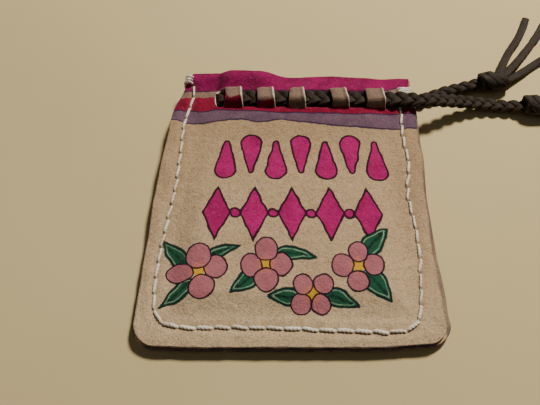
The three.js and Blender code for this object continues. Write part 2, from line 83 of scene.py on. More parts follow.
TAILS = {
    "back": [
        [(85.4, 58.3, 3.7), (87.6, 62.6, 3.0), (90.4, 68.4, 2.2), (95.2, 76.6, 1.3), (100.4, 84.2, 0.9), (104.6, 91.6, 0.8), (107.6, 98.0, 0.8)],
        [(87.0, 58.0, 3.4), (89.6, 61.4, 2.9), (94.2, 66.8, 2.0), (100.0, 74.0, 1.1), (105.6, 81.2, 0.85), (111.0, 88.6, 0.8), (114.6, 94.6, 0.8)],
        [(87.4, 56.8, 3.2), (90.6, 58.8, 2.5), (95.6, 62.4, 1.6), (101.4, 67.0, 0.95), (107.8, 71.8, 0.8), (113.6, 75.6, 0.8), (118.6, 79.6, 0.8)],
    ],
    "front": [
        [(101.8, 44.8, 3.4), (105.4, 48.0, 2.6), (110.4, 52.4, 1.4), (115.4, 58.2, 0.85), (119.8, 65.0, 0.8), (123.2, 72.6, 0.8)],
        [(102.4, 43.7, 3.3), (106.6, 44.6, 2.7), (112.8, 46.8, 1.5), (119.2, 50.6, 0.85), (125.0, 56.2, 0.8), (129.4, 62.2, 0.8)],
        [(102.2, 42.6, 3.2), (106.8, 41.2, 2.6), (113.4, 40.0, 1.4), (120.4, 40.8, 0.85), (127.0, 43.8, 0.8), (132.4, 48.0, 0.8)],
    ],
}

# ------------------------------------------------------------------ small helpers


def ease(a, b, x):
    t = np.clip((np.asarray(x, float) - a) / (b - a), 0, 1)
    return t * t * (3 - 2 * t)


def mix(a, b, t):
    return a + (b - a) * t


def soft_table(rows, width=1.6):
    """A table read by linear interpolation and then smoothed, as a fast lookup."""
    xs = np.array([r[0] for r in rows], float)
    ys = np.array([r[1] for r in rows], float)
    fine = np.linspace(xs[0] - 6, xs[-1] + 6, 1200)
    v = np.interp(fine, xs, ys)
    h = fine[1] - fine[0]
    k = np.arange(-int(3 * width / h), int(3 * width / h) + 1) * h
    w = np.exp(-0.5 * (k / width) ** 2)
    w /= w.sum()
    v = np.convolve(np.pad(v, len(k) // 2, mode="edge"), w, mode="valid")
    return lambda x: np.interp(x, fine, v)


left_of, right_of, foot_of, mouth_of = soft_table(LEFT_EDGE), soft_table(RIGHT_EDGE), soft_table(FOOT), soft_table(MOUTH)


class Waves:
    """Smooth fixed noise: a sum of plane waves. The same numbers every run."""

    def __init__(self, seed, scale, n=14, spread=0.5):
        r = np.random.RandomState(seed)
        a = r.uniform(0, 2 * np.pi, n)
        k = 2 * np.pi / (scale * r.uniform(1 - spread, 1 + spread, n))
        self.kx, self.ky, self.kz, self.p, self.n = k * np.cos(a), k * np.sin(a), k * r.uniform(-1, 1, n), r.uniform(0, 2 * np.pi, n), n

    def __call__(self, x, y, z=0.0):
        out = 0.0
        for kx, ky, kz, p in zip(self.kx, self.ky, self.kz, self.p):
            out = out + np.sin(kx * x + ky * y + kz * z + p)
        return out / math.sqrt(self.n)


def catmull(points, step):
    """Points along a smooth curve through the given ones, about step apart, and evenly spaced."""
    p = np.array(points, float)
    d = np.maximum(np.linalg.norm(np.diff(p, axis=0), axis=1), 1e-9) ** 0.5
    t = np.concatenate([[0], np.cumsum(d)])
    q = np.vstack([2 * p[0] - p[1], p, 2 * p[-1] - p[-2]])
    tt = np.concatenate([[-d[0]], t, [t[-1] + d[-1]]])
    out = []
    for i in range(len(p) - 1):
        t0, t1, t2, t3 = tt[i], tt[i + 1], tt[i + 2], tt[i + 3]
        p0, p1, p2, p3 = q[i], q[i + 1], q[i + 2], q[i + 3]
        u = np.linspace(t1, t2, 40, endpoint=False)[:, None]
        a1 = (t1 - u) / (t1 - t0) * p0 + (u - t0) / (t1 - t0) * p1
        a2 = (t2 - u) / (t2 - t1) * p1 + (u - t1) / (t2 - t1) * p2
        a3 = (t3 - u) / (t3 - t2) * p2 + (u - t2) / (t3 - t2) * p3
        b1 = (t2 - u) / (t2 - t0) * a1 + (u - t0) / (t2 - t0) * a2
        b2 = (t3 - u) / (t3 - t1) * a2 + (u - t1) / (t3 - t1) * a3
        out.append((t2 - u) / (t2 - t1) * b1 + (u - t1) / (t2 - t1) * b2)
    out.append(p[-1:])
    c = np.vstack(out)
    s = np.concatenate([[0], np.cumsum(np.linalg.norm(np.diff(c, axis=0), axis=1))])
    n = max(2, int(round(s[-1] / step)) + 1)
    g = np.linspace(0, s[-1], n)
    return np.stack([np.interp(g, s, c[:, k]) for k in range(3)], 1), s[-1]


def unit(v):
    return v / np.maximum(np.linalg.norm(v, axis=-1, keepdims=True), 1e-12)


def make_object(name, verts_mm, faces, attrs=None, smooth=True):
    me = bpy.data.meshes.new(name)
    me.from_pydata((np.asarray(verts_mm) * MM).tolist(), [], [list(map(int, f)) for f in faces])
    me.validate()
    me.update()
    if smooth:
        me.polygons.foreach_set("use_smooth", [True] * len(me.polygons))
    for key, val in (attrs or {}).items():
        a = me.attributes.new(key, "FLOAT", "POINT")
        a.data.foreach_set("value", np.asarray(val, np.float32))
    o = bpy.data.objects.new(name, me)
    bpy.context.scene.collection.objects.link(o)
    return o


# ------------------------------------------------------------------ shape of the pouch


def joint_height(x, y):
    left = 2.6 + 3.4 * ease(-35, 36, y)
    right = 2.6 + 4.0 * ease(-25, 33, y)
    return mix(left, right, np.clip((x + 40) / 80, 0, 1))


def corner_inset(h):
    h = np.clip(h, 0, CORNER)
    return CORNER - np.sqrt(np.maximum(CORNER**2 - (CORNER - h) ** 2, 0))


def margin(x, y):
    return np.minimum(np.minimum(x - left_of(y), right_of(y) - x), y - foot_of(x))


def lip_wave(x):
    left = 2.2 * ease(-39.5, -37, x) * (1 - ease(-27.0, -23.0, x))
    raised = 2.7 * ease(-27.0, -22.8, x) * (1 - ease(-12, -1, x))
    return left + raised - 0.7 * np.exp(-(((x - 3) / 8) ** 2)) - 0.5 * np.exp(-(((x - 30) / 9) ** 2))


def lip_fold(x, y):
    """The crease left of the raised stretch of the mouth, deepest between the weave and the rim."""
    return np.exp(-(((x + 27.2 - 0.12 * (y - 48)) / 1.7) ** 2)) * ease(43.5, 46.5, y) * (1 - 0.8 * ease(50.0, 53.2, y))


def front_base(x, y):
    crown = mix(5.2, FRONT_MID, ease(-46, -12, y)) + (8.65 - FRONT_MID) * ease(20, 33, y) - 0.5 * ease(46, 53, y)
    return mix(joint_height(x, y) + (SEAM_GAP + LEATHER) / 2, crown, ease(SEAM_FLAT, 18, margin(x, y))) + lip_wave(x) * ease(44.8, 51.5, y) - 1.5 * lip_fold(x, y)


def back_base(x, y):
    crown = mix(BACK_MID, 3.0, ease(26, 33, y)) + 0.6 * ease(46, 53, y)
    return mix(joint_height(x, y) - (SEAM_GAP + LEATHER) / 2, crown, ease(SEAM_FLAT, 17, margin(x, y)))


def weave(y):
    t = np.clip((SLIT_HALF - np.abs(y - WEAVE_Y)) / (SLIT_HALF - SLIT_FULL), 0, 1)
    return mix(t, t * t * (3 - 2 * t), 0.55)


def front_level(kind, x, y):
    base, w = front_base(x, y), weave(y)
    if kind == "over":
        return mix(base, STRAP_F + 0.05, w)
    if kind == "under":
        return mix(base, WINDOW_F, w)
    if kind == "margin":
        return mix(base, mix(WINDOW_F, joint_height(44, WEAVE_Y) + (SEAM_GAP + LEATHER) / 2, ease(36, 44, x)), w)
    return base


def back_level(kind, x, y):
    base, w = back_base(x, y), weave(y)
    if kind == "over":
        return mix(base, WINDOW_B, w)
    if kind == "under":
        return mix(base, BACK_MID, w * ease(-37, -30, x))
    if kind == "margin":
        far = mix(4.75, joint_height(44, WEAVE_Y) - (SEAM_GAP + LEATHER) / 2, ease(36, 44, x))
        return mix(base, mix(WINDOW_B, far, ease(31.5, 35.2, x)), w)
    return base


# ------------------------------------------------------------------ seam line and holes

seam_line, seam_len = catmull([(x, y, 0) for x, y in SEAM], 0.05)
n_stitch = int(round(seam_len / STITCH))
holes = seam_line[np.round(np.linspace(0, len(seam_line) - 1, n_stitch + 1)).astype(int), :2]
rng = np.random.RandomState(7)
holes = holes + rng.uniform(-0.16, 0.16, holes.shape)


def near(points, x, y, chunk=20000):
    """Distance of each (x, y) from the nearest of points."""
    out = np.empty(x.shape)
    for i in range(0, len(x), chunk):
        d = (x[i : i + chunk, None] - points[None, :, 0]) ** 2 + (y[i : i + chunk, None] - points[None, :, 1]) ** 2
        out[i : i + chunk] = np.sqrt(d.min(1))
    return out


big, mid_w, small = Waves(11, 34), Waves(12, 13), Waves(13, 5.5)

# ------------------------------------------------------------------ leather panels as fine sheets


def leather_sheet(name, slits, kinds, level, grow, pitch, sign):
    """A sheet of leather in the pouch's shape, with open slits, rounded cut rims, dimples under the stitches,
    and the flat coordinates of every point kept for its paint. sign is 1 for the front and -1 for the back."""
    core_l, core_r = -31.0, 38.2
    sl = [s for s, _ in slits]
    stops = [core_l] + sl + [core_r]
    # rows: heights above the foot at the bottom, absolute elsewhere
    lo_rows = np.concatenate([np.array([0, 0.15, 0.45, 0.9]), np.arange(1.4, 12, pitch)])
    y_abs = []
    marks = [-41.2, WEAVE_Y - SLIT_HALF, WEAVE_Y + SLIT_HALF, 50.4]
    for a, b in zip(marks, marks[1:]):
        n = int(math.ceil((b - a) / pitch))
        y_abs += list(np.linspace(a, b, n, endpoint=False))
    top = np.linspace(0, 1, 6)
    n_rows = len(lo_rows) + len(y_abs) + len(top)
    slit_rows = np.zeros(n_rows, bool)

    def row_y(i, x):
        if i < len(lo_rows):
            return mix(foot_of(x) - grow, -41.2, lo_rows[i] / 12.0)
        i -= len(lo_rows)
        if i < len(y_abs):
            return np.full_like(x, y_abs[i])
        return mix(50.4, mouth_of(x) + 0.3 * grow, top[i - len(y_abs)])

    for i in range(n_rows):
        if len(lo_rows) <= i < len(lo_rows) + len(y_abs):
            yy = y_abs[i - len(lo_rows)]
            slit_rows[i] = abs(yy - WEAVE_Y) < SLIT_HALF - 1e-6
    patches, ids, pos, kind_of = [], [], [], []
    count = 0
    for k in range(len(sl) + 1):
        a, b = stops[k], stops[k + 1]
        n = max(2, int(math.ceil((b - a) / pitch)))
        cols = [("x", v) for v in np.linspace(a, b, n + 1)]
        if k == 0:
            m = int(math.ceil(16 / pitch))
            cols = [("l", f) for f in (1 - (1 - np.linspace(0, 1, m, endpoint=False)) ** 1.0)] + cols
        if k == len(sl):
            m = int(math.ceil(9.2 / pitch))
            cols = cols + [("r", f) for f in np.linspace(0, 1, m + 1)[1:]]
        P = np.zeros((n_rows, len(cols), 2))
        for i in range(n_rows):
            xs = np.array([v if c == "x" else (core_l - 16 * (1 - v) if c == "l" else core_r + 9.2 * v) for c, v in cols])
            ys = row_y(i, xs)
            for _ in range(2):
                le = left_of(ys) - grow + corner_inset(ys - (foot_of(xs) - grow))
                peek = 0.0 if sign > 0 else 0.75 * ease(-51, -44, ys) * (1 - ease(-22, -8, ys)) + 0.35
                ri = right_of(ys) + grow + peek - corner_inset(ys - (foot_of(xs) - grow))
                xs = np.array([v if c == "x" else (mix(l, core_l, v) if c == "l" else mix(core_r, r, v)) for (c, v), l, r in zip(cols, le, ri)])
                ys = row_y(i, xs)
            P[i, :, 0], P[i, :, 1] = xs, ys
        flat = P.copy()
        # slits stand open: push the columns beside them apart
        bow0 = np.clip(1 - ((P[:, :, 1] - WEAVE_Y) / SLIT_HALF) ** 2, 0, 1)
        xs = P[:, :, 0].copy()
        for s, half in slits:
            reach = max(1.6, 2.2 * half)
            bow = bow0 ** (0.42 if half > 1 else 0.8)
            if abs(s - stops[k]) < 1e-9:
                P[:, :, 0] += half * bow * np.clip(1 - (xs - s) / reach, 0, 1) * (xs >= s - 1e-9)
            if abs(s - stops[k + 1]) < 1e-9:
                P[:, :, 0] -= half * bow * np.clip(1 - (s - xs) / reach, 0, 1) * (xs <= s + 1e-9)
        x, y = P[:, :, 0], P[:, :, 1]
        z = level(kinds[k], x, y)
        if sign > 0 and kinds[k] == "over":
            a_, b_ = stops[k] + slits[k - 1][1] + 0.2, stops[k + 1] - slits[k][1]
            z = z + weave(y) * (0.62 * np.clip((x - (b_ - 1.4)) / 1.4, 0, 1) ** 2 - 0.45 * np.clip((a_ + 1.3 - x) / 1.3, 0, 1) ** 2)
        idx = np.full((n_rows, len(cols)), -1, int)
        if k > 0:
            share = ~slit_rows
            idx[share, 0] = ids[k - 1][share, -1]
        new = idx < 0
        idx[new] = count + np.arange(new.sum())
        count += new.sum()
        pos.append(np.stack([x[new], y[new], z[new], flat[:, :, 0][new], flat[:, :, 1][new]], 1))
        kind_of += [kinds[k]] * int(new.sum())
        ids.append(idx)
    pos = np.vstack(pos)
    V, F2 = pos[:, :3].copy(), pos[:, 3:]
    kind_of = np.array(kind_of)
    x, y = V[:, 0], V[:, 1]
    # relief of worn soft leather
    m = margin(x, y)
    calm = 1 - 0.75 * weave(y)
    relief = 0.09 * big(x, y) + 0.045 * mid_w(x, y) * calm + 0.03 * small(x, y)
    relief = relief * ease(-1, 9, m) + 0.10 * mid_w(x * 1.3, y * 1.3) * (1 - ease(2, 7, m))
    d_hole = near(holes, x, y)
    d_seam = near(seam_line[::6, :2], x, y)
    groove = -0.16 * np.exp(-((d_seam / 1.3) ** 2)) - 0.34 * np.exp(-((d_hole / 0.75) ** 2)) + 0.12 * np.exp(-(((d_seam - 2.4) / 1.1) ** 2))
    if sign > 0:
        V[:, 2] += relief + groove
        # the free margin outside the seam waves a little and turns down at its rim
        V[:, 2] += -0.25 * (1 - ease(0, 2.4, m)) + 0.22 * np.sin(y * 0.31 + x * 0.05) * (1 - ease(1.0, 4.5, np.minimum(x - left_of(y), right_of(y) - x)))
    else:
        low = V[:, 2] < 0.9
        V[:, 2] += np.where(low, np.maximum(relief, 0) * 0.0, 0.35 * relief) - groove * 0.8
        V[:, 2] = np.maximum(V[:, 2], BACK_MID + 0.02)
    faces = []
    for idx in ids:
        a, b, c, d = idx[:-1, :-1], idx[:-1, 1:], idx[1:, 1:], idx[1:, :-1]
        faces.append(np.stack([a.ravel(), b.ravel(), c.ravel(), d.ravel()], 1))
    faces = np.vstack(faces)
    n = len(V)
    fn = np.cross(V[faces[:, 2]] - V[faces[:, 0]], V[faces[:, 3]] - V[faces[:, 1]])
    N = np.zeros_like(V)
    for c in range(4):
        np.add.at(N, faces[:, c], fn)
    N = unit(N)
    # boundary edges
    ea = np.concatenate([faces[:, i] for i in range(4)]).astype(np.int64)
    eb = np.concatenate([faces[:, (i + 1) % 4] for i in range(4)]).astype(np.int64)
    key, rev = ea * n + eb, eb * n + ea
    edge = ~np.isin(key, rev)
    A, B = ea[edge], eb[edge]
    out = np.zeros_like(V)
    dirn = unit(V[B] - V[A])
    for q in (A, B):
        np.add.at(out, q, np.cross(dirn, N[q]))
    rim = np.unique(np.concatenate([A, B]))
    o = out[rim]
    ln = np.linalg.norm(o, axis=1, keepdims=True)
    o = np.where(ln > 0.6, o / np.maximum(ln, 1e-9), o)
    place = np.full(n, -1)
    place[rim] = np.arange(len(rim))
    half = LEATHER / 2
    topv = V + N * half
    botv = V - N * half
    rings, bulge, level_f = [], [0.13, 0.19, 0.13], [0.30, 0.0, -0.30]
    pull = 1 + 0.9 * np.clip(o[:, :1], 0, 1) * (np.abs(V[rim][:, 1:2] - WEAVE_Y) < SLIT_HALF)
    for f, bl in zip(level_f, bulge):
        rings.append(V[rim] + N[rim] * f * 2 * half + o * bl * pull)
    verts = np.vstack([topv, botv] + rings)
    k0 = 2 * n
    R = len(rim)
    allf = [faces, faces[:, ::-1] + n]
    pa, pb = place[A], place[B]
    layers_a = [A, k0 + pa, k0 + R + pa, k0 + 2 * R + pa, n + A]
    layers_b = [B, k0 + pb, k0 + R + pb, k0 + 2 * R + pb, n + B]
    for i in range(4):
        allf.append(np.stack([layers_b[i], layers_a[i], layers_a[i + 1], layers_b[i + 1]], 1))
    allf = np.vstack(allf)
    idx_all = np.concatenate([np.arange(n), np.arange(n), rim, rim, rim])
    side = np.concatenate([np.ones(n), -np.ones(n), np.zeros(3 * R)])
    is_rim = np.concatenate([np.zeros(2 * n), np.ones(3 * R)])
    # the rims' outward x direction, which sets the painted shade on rims that do not face right
    right_facing = np.concatenate([np.zeros(2 * n)] + [o[:, 0]] * 3)
    info = {
        "facing": right_facing, "flat": F2[idx_all], "side": side, "rim": is_rim, "margin": m[idx_all], "hole": d_hole[idx_all],
        "kind": kind_of[idx_all], "seam": d_seam[idx_all],
    }
    if sign < 0:
        verts[:, 2] = np.maximum(verts[:, 2], 0.0)
    area = 0.5 * np.linalg.norm(fn, axis=1).sum()
    return verts, allf, info, area


# ------------------------------------------------------------------ paint, as signed distances in millimetres


def sd_ellipse(x, y, cx, cy, a, b, turn=0.0):
    c, s = math.cos(math.radians(turn)), math.sin(math.radians(turn))
    u, v = (x - cx) * c + (y - cy) * s, -(x - cx) * s + (y - cy) * c
    k = np.hypot(u / a, v / b)
    g = np.hypot(u / a**2, v / b**2)
    return np.where(k < 1e-6, -min(a, b), (k - 1) * k / np.maximum(g, 1e-9))


def sd_drop(x, y, cx, cy, r1, r2, h, flip):
    """A teardrop standing on its round end, or on its point with flip."""
    px, py = np.abs(x - cx), (y - cy) * (-1 if flip else 1)
    b = (r1 - r2) / h
    a = math.sqrt(1 - b * b)
    k = -b * px + a * py
    d1 = np.hypot(px, py) - r1
    d2 = np.hypot(px, py - h) - r2
    d3 = px * a + py * b - r1
    return np.where(k < 0, d1, np.where(k > a * h, d2, d3))


def sd_lozenge(x, y, cx, cy, a, b, r):
    u, v = np.abs(x - cx), np.abs(y - cy)
    a2, b2 = a - r, b - r
    s = (u * b2 + v * a2 - a2 * b2) / math.hypot(a2, b2)
    return s - r * 0.85


def leaf_frame(x, y, base, tip, bend):
    bx, by, tx, ty = *base, *tip
    L = math.hypot(tx - bx, ty - by)
    ux, uy = (tx - bx) / L, (ty - by) / L
    u = ((x - bx) * ux + (y - by) * uy) / L
    v = -(x - bx) * uy + (y - by) * ux
    return u, v - bend * np.sin(np.pi * np.clip(u, -0.2, 1)), L


def sd_leaf(x, y, base, tip, w, bend):
    u, v, L = leaf_frame(x, y, base, tip, bend)
    uc = np.clip(u, 0, 1)
    h = w * 1.0 * (np.sin(np.pi * uc**0.72)) ** 0.9 * (1 - 0.25 * uc)
    body = (np.abs(v) - h) * 0.86
    ends = np.hypot(np.maximum(np.maximum(-u, u - 1), 0) * L, v)
    return np.where((u < 0) | (u > 1), ends, body), u, v


FLOWERS = [
    [(-29.2, -24.9, 3.8, 4.25, -20), (-23.6, -28.4, 3.7, 3.85, 0), (-27.6, -34.8, 4.0, 3.6, 15), (-34.9, -30.3, 4.4, 3.3, -2)],
    [(-7.6, -22.2, 3.75, 3.95, 0), (-2.8, -27.3, 3.6, 3.9, 0), (-7.4, -32.3, 3.75, 3.85, 0), (-12.2, -27.8, 3.4, 3.9, 12)],
    [(4.0, -33.7, 3.1, 3.15, 20), (10.4, -33.5, 3.05, 3.15, -15), (9.5, -39.7, 2.95, 3.05, 0), (3.4, -39.8, 3.15, 3.25, 10)],
    [(21.9, -22.7, 3.15, 3.4, 0), (26.5, -27.0, 3.3, 3.5, 10), (21.3, -32.5, 3.4, 3.3, 0), (16.7, -27.4, 3.6, 3.8, 0)],
]
LEAVES = [
    ((-32.2, -28.0), (-42.0, -18.2), 3.2, 0.35), ((-27.0, -26.2), (-15.8, -21.0), 2.3, 0.9), ((-30.6, -32.8), (-40.4, -41.5), 2.8, 0.3),
    ((-5.4, -23.8), (8.8, -25.0), 2.7, 0.8), ((-10.6, -28.8), (-18.7, -36.6), 3.5, 0.7),
    ((3.2, -37.6), (-7.4, -37.2), 3.0, 0.2), ((10.0, -36.6), (21.6, -40.3), 3.1, 0.5),
    ((23.2, -24.6), (32.1, -14.2), 3.6, 0.5), ((23.0, -29.5), (31.3, -38.8), 4.0, 0.6),
]
LINE_1 = soft_table([(-46, 46.0), (-40, 45.5), (-28, 45.2), (-16, 45.0), (-4, 44.9), (8, 45.0), (20, 45.0), (30, 45.2), (36, 45.8), (41, 47.4), (48, 48.2)], 1.2)
LINE_2 = soft_table([(-46, 42.4), (-30, 41.9), (-26, 41.3), (-24, 38.3), (-21, 38.5), (-18.2, 39.1), (-12, 37.9), (-6, 37.8), (-1, 37.1), (2, 36.1), (5, 36.2), (8, 36.9), (14, 36.9), (22, 36.8), (28, 36.8), (36, 36.8), (40, 37.2), (47, 37.4)], 0.5)
LINE_3 = soft_table([(-46, 35.69), (-37, 35.29), (-30, 34.44), (-22, 34.4), (-17, 34.69), (-11, 34.1), (-5, 33.7), (4, 33.6), (14, 33.5), (24, 33.33), (34, 33.75), (47, 34.79)], 1.0)
LINE_4 = soft_table([(-46, 31.6), (-37, 29.38), (-30, 28.85), (-24, 29.91), (-19.7, 30.41), (-15, 30.05), (-10.5, 29.26), (-4, 30.46), (2, 29.97), (8, 29.27), (16, 28.57), (25, 27.57), (33.5, 27.2), (40, 27.2), (46, 28.1)], 1.0)


def paint(flat):
    x, y = flat[:, 0], flat[:, 1]
    hand = Waves(31, 7.0)
    hx, hy = x + 0.16 * hand(x, y), y + 0.16 * hand(y + 40, x - 17)
    far = np.full(len(x), 9.0)
    A, B, C, near_c, near_l = far.copy(), far.copy(), far.copy(), far.copy(), far.copy()
    vein = far.copy()
    for f in FLOWERS:
        cx, cy = np.mean([q[0] for q in f]), np.mean([q[1] for q in f])
        for k, (px, py, a, b, t) in enumerate(f):
            s = sd_ellipse(hx, hy, px, py, a, b, t)
            if k % 2:
                B = np.minimum(B, s)
            else:
                A = np.minimum(A, s)
        near_c = np.minimum(near_c, np.hypot(x - cx, y - cy) - 1.9)
    for base, tip, w, bend in LEAVES:
        s, u, v = sd_leaf(hx, hy, base, tip, w, bend)
        take = s < near_l
        vein = np.where(take, np.abs(v) + 0.5 * (u > 0.8) + 0.4 * (u < 0.15), vein)
        near_l = np.where(take, s, near_l)
    for k in range(7):
        C = np.minimum(C, sd_drop(hx, hy, -22.6 + 8.9 * k, 8.4 if k % 2 == 0 else 20.2, 3.7, 0.9, 12.0, k % 2 == 1))
    for k in range(5):
        C = np.minimum(C, sd_lozenge(hx, hy, -24.6 + 12.7 * k, -9.0, 4.7, 8.9, 1.1))
        if k < 4:
            C = np.minimum(C, np.hypot(hx - (-18.25 + 12.7 * k), hy + 9.0) - 1.75)
    return {
        "petal_a": A, "petal_b": B, "leaf": near_l, "vein": vein, "eye": near_c, "shape": C,
        "line1": hy - LINE_1(x), "line2": hy - LINE_2(x), "line3": hy - LINE_3(x), "line4": hy - LINE_4(x),
    }


# ------------------------------------------------------------------ material nodes


def lin(r, g, b, k=1.0):
    f = lambda c: (c / 255 / 12.92) if c / 255 <= 0.04045 else ((c / 255 + 0.055) / 1.055) ** 2.4
    return (min(1, f(r) * k), min(1, f(g) * k), min(1, f(b) * k), 1.0)


class Nodes:
    """A short way to write a node tree."""

    def __init__(self, name):
        self.mat = bpy.data.materials.new(name)
        self.mat.use_nodes = True
        self.t = self.mat.node_tree
        self.t.nodes.clear()
        self.out = self.t.nodes.new("ShaderNodeOutputMaterial")
        self.bsdf = self.t.nodes.new("ShaderNodeBsdfPrincipled")
        self.t.links.new(self.bsdf.outputs[0], self.out.inputs[0])
        self.coord = self.t.nodes.new("ShaderNodeTexCoord").outputs["Object"]

    def put(self, socket, value):
        if hasattr(value, "is_output"):
            self.t.links.new(value, socket)
        else:
            socket.default_value = value

    def set(self, **kw):
        for k, v in kw.items():
            self.put(self.bsdf.inputs[k.replace("_", " ")], v)

    def attr(self, name):
        n = self.t.nodes.new("ShaderNodeAttribute")
        n.attribute_name = name
        return n.outputs["Fac"]

    def math(self, op, a, b=None, c=None, clamp=False):
        n = self.t.nodes.new("ShaderNodeMath")
        n.operation, n.use_clamp = op, clamp
        self.put(n.inputs[0], a)
        if b is not None:
            self.put(n.inputs[1], b)
        if c is not None:
            self.put(n.inputs[2], c)
        return n.outputs[0]

    def noise(self, scale, detail=2.0, rough=0.5, distort=0.0, vector=None, stretch=None):
        n = self.t.nodes.new("ShaderNodeTexNoise")
        v = vector if vector is not None else self.coord
        if stretch:
            m = self.t.nodes.new("ShaderNodeMapping")
            m.inputs["Scale"].default_value = stretch
            self.t.links.new(v, m.inputs["Vector"])
            v = m.outputs[0]
        self.t.links.new(v, n.inputs["Vector"])
        n.inputs["Scale"].default_value = scale
        n.inputs["Detail"].default_value = detail
        n.inputs["Roughness"].default_value = rough
        n.inputs["Distortion"].default_value = distort
        return n.outputs["Fac"]

    def ramp(self, fac, lo, hi, a=0.0, b=1.0):
        n = self.t.nodes.new("ShaderNodeMapRange")
        n.clamp = True
        self.put(n.inputs["Value"], fac)
        for k, v in (("From Min", lo), ("From Max", hi), ("To Min", a), ("To Max", b)):
            n.inputs[k].default_value = v
        return n.outputs[0]

    def mix(self, fac, a, b, mode="MIX"):
        n = self.t.nodes.new("ShaderNodeMix")
        n.data_type, n.blend_type = "RGBA", mode
        self.put(n.inputs[0], fac)
        self.put(n.inputs[6], a)
        self.put(n.inputs[7], b)
        return n.outputs[2]

    def bump(self, height, strength, distance, normal=None):
        n = self.t.nodes.new("ShaderNodeBump")
        n.inputs["Strength"].default_value = strength
        n.inputs["Distance"].default_value = distance
        self.put(n.inputs["Height"], height)
        if normal is not None:
            self.put(n.inputs["Normal"], normal)
        return n.outputs[0]


K = 1.28
SUEDE_A, SUEDE_B, SUEDE_C = lin(198, 173, 140, K), lin(190, 164, 131, K), lin(216, 194, 163, K)


def suede_base(m):
    """Napped suede: blotches, short fibres and pores. Returns its colour and its height."""
    blot = m.noise(42.0, 4.0, 0.6, 0.3)
    cloud = m.noise(150.0, 3.0, 0.6, 0.6)
    nap = m.noise(1500.0, 4.0, 0.72, 0.4)
    fibre = m.noise(1300.0, 3.0, 0.7, 0.8, stretch=(1.0, 0.8, 1.0))
    col = m.mix(m.ramp(blot, 0.28, 0.74), SUEDE_A, SUEDE_B)
    col = m.mix(m.ramp(cloud, 0.5, 0.78, 0, 0.3), col, SUEDE_C)
    col = m.mix(m.ramp(nap, 0.30, 0.54, 0.62, 0.0), col, lin(112, 88, 66, K))
    col = m.mix(m.ramp(fibre, 0.52, 0.74, 0.0, 0.55), col, lin(222, 204, 174, K))
    grit = m.noise(620.0, 3.0, 0.7, 0.3)
    col = m.mix(m.ramp(grit, 0.32, 0.46, 0.22, 0.0), col, lin(120, 96, 72, K))
    pores = m.noise(380.0, 2.0, 0.5, 0.0)
    col = m.mix(m.ramp(pores, 0.70, 0.80, 0.0, 0.35), col, lin(120, 88, 78, K))
    sep = m.t.nodes.new("ShaderNodeSeparateXYZ")
    m.t.links.new(m.coord, sep.inputs[0])
    # the face is coloured darker and pinker towards the top, from y = -45 mm to y = 30 mm
    foot = m.ramp(sep.outputs[1], -0.045, 0.03)
    col = m.mix(1.0, col, m.mix(foot, (1.0, 1.0, 1.0, 1.0), (0.785, 0.72, 0.67, 1.0)), "MULTIPLY")
    # painted shade: the face is coloured darker and greyer towards its right edge, from x = 35 mm
    right_side_shade = m.ramp(sep.outputs[0], 0.035, 0.049)
    col = m.mix(1.0, col, m.mix(right_side_shade, (1.0, 1.0, 1.0, 1.0), (0.86, 0.83, 0.82, 1.0)), "MULTIPLY")
    grain = m.noise(2300.0, 3.0, 0.65, 0.2)
    height = m.math("ADD", m.math("MULTIPLY", nap, 0.7), m.math("ADD", m.math("MULTIPLY", fibre, 0.4), m.math("MULTIPLY", grain, 0.35)))
    return col, height, nap, fibre, cloud


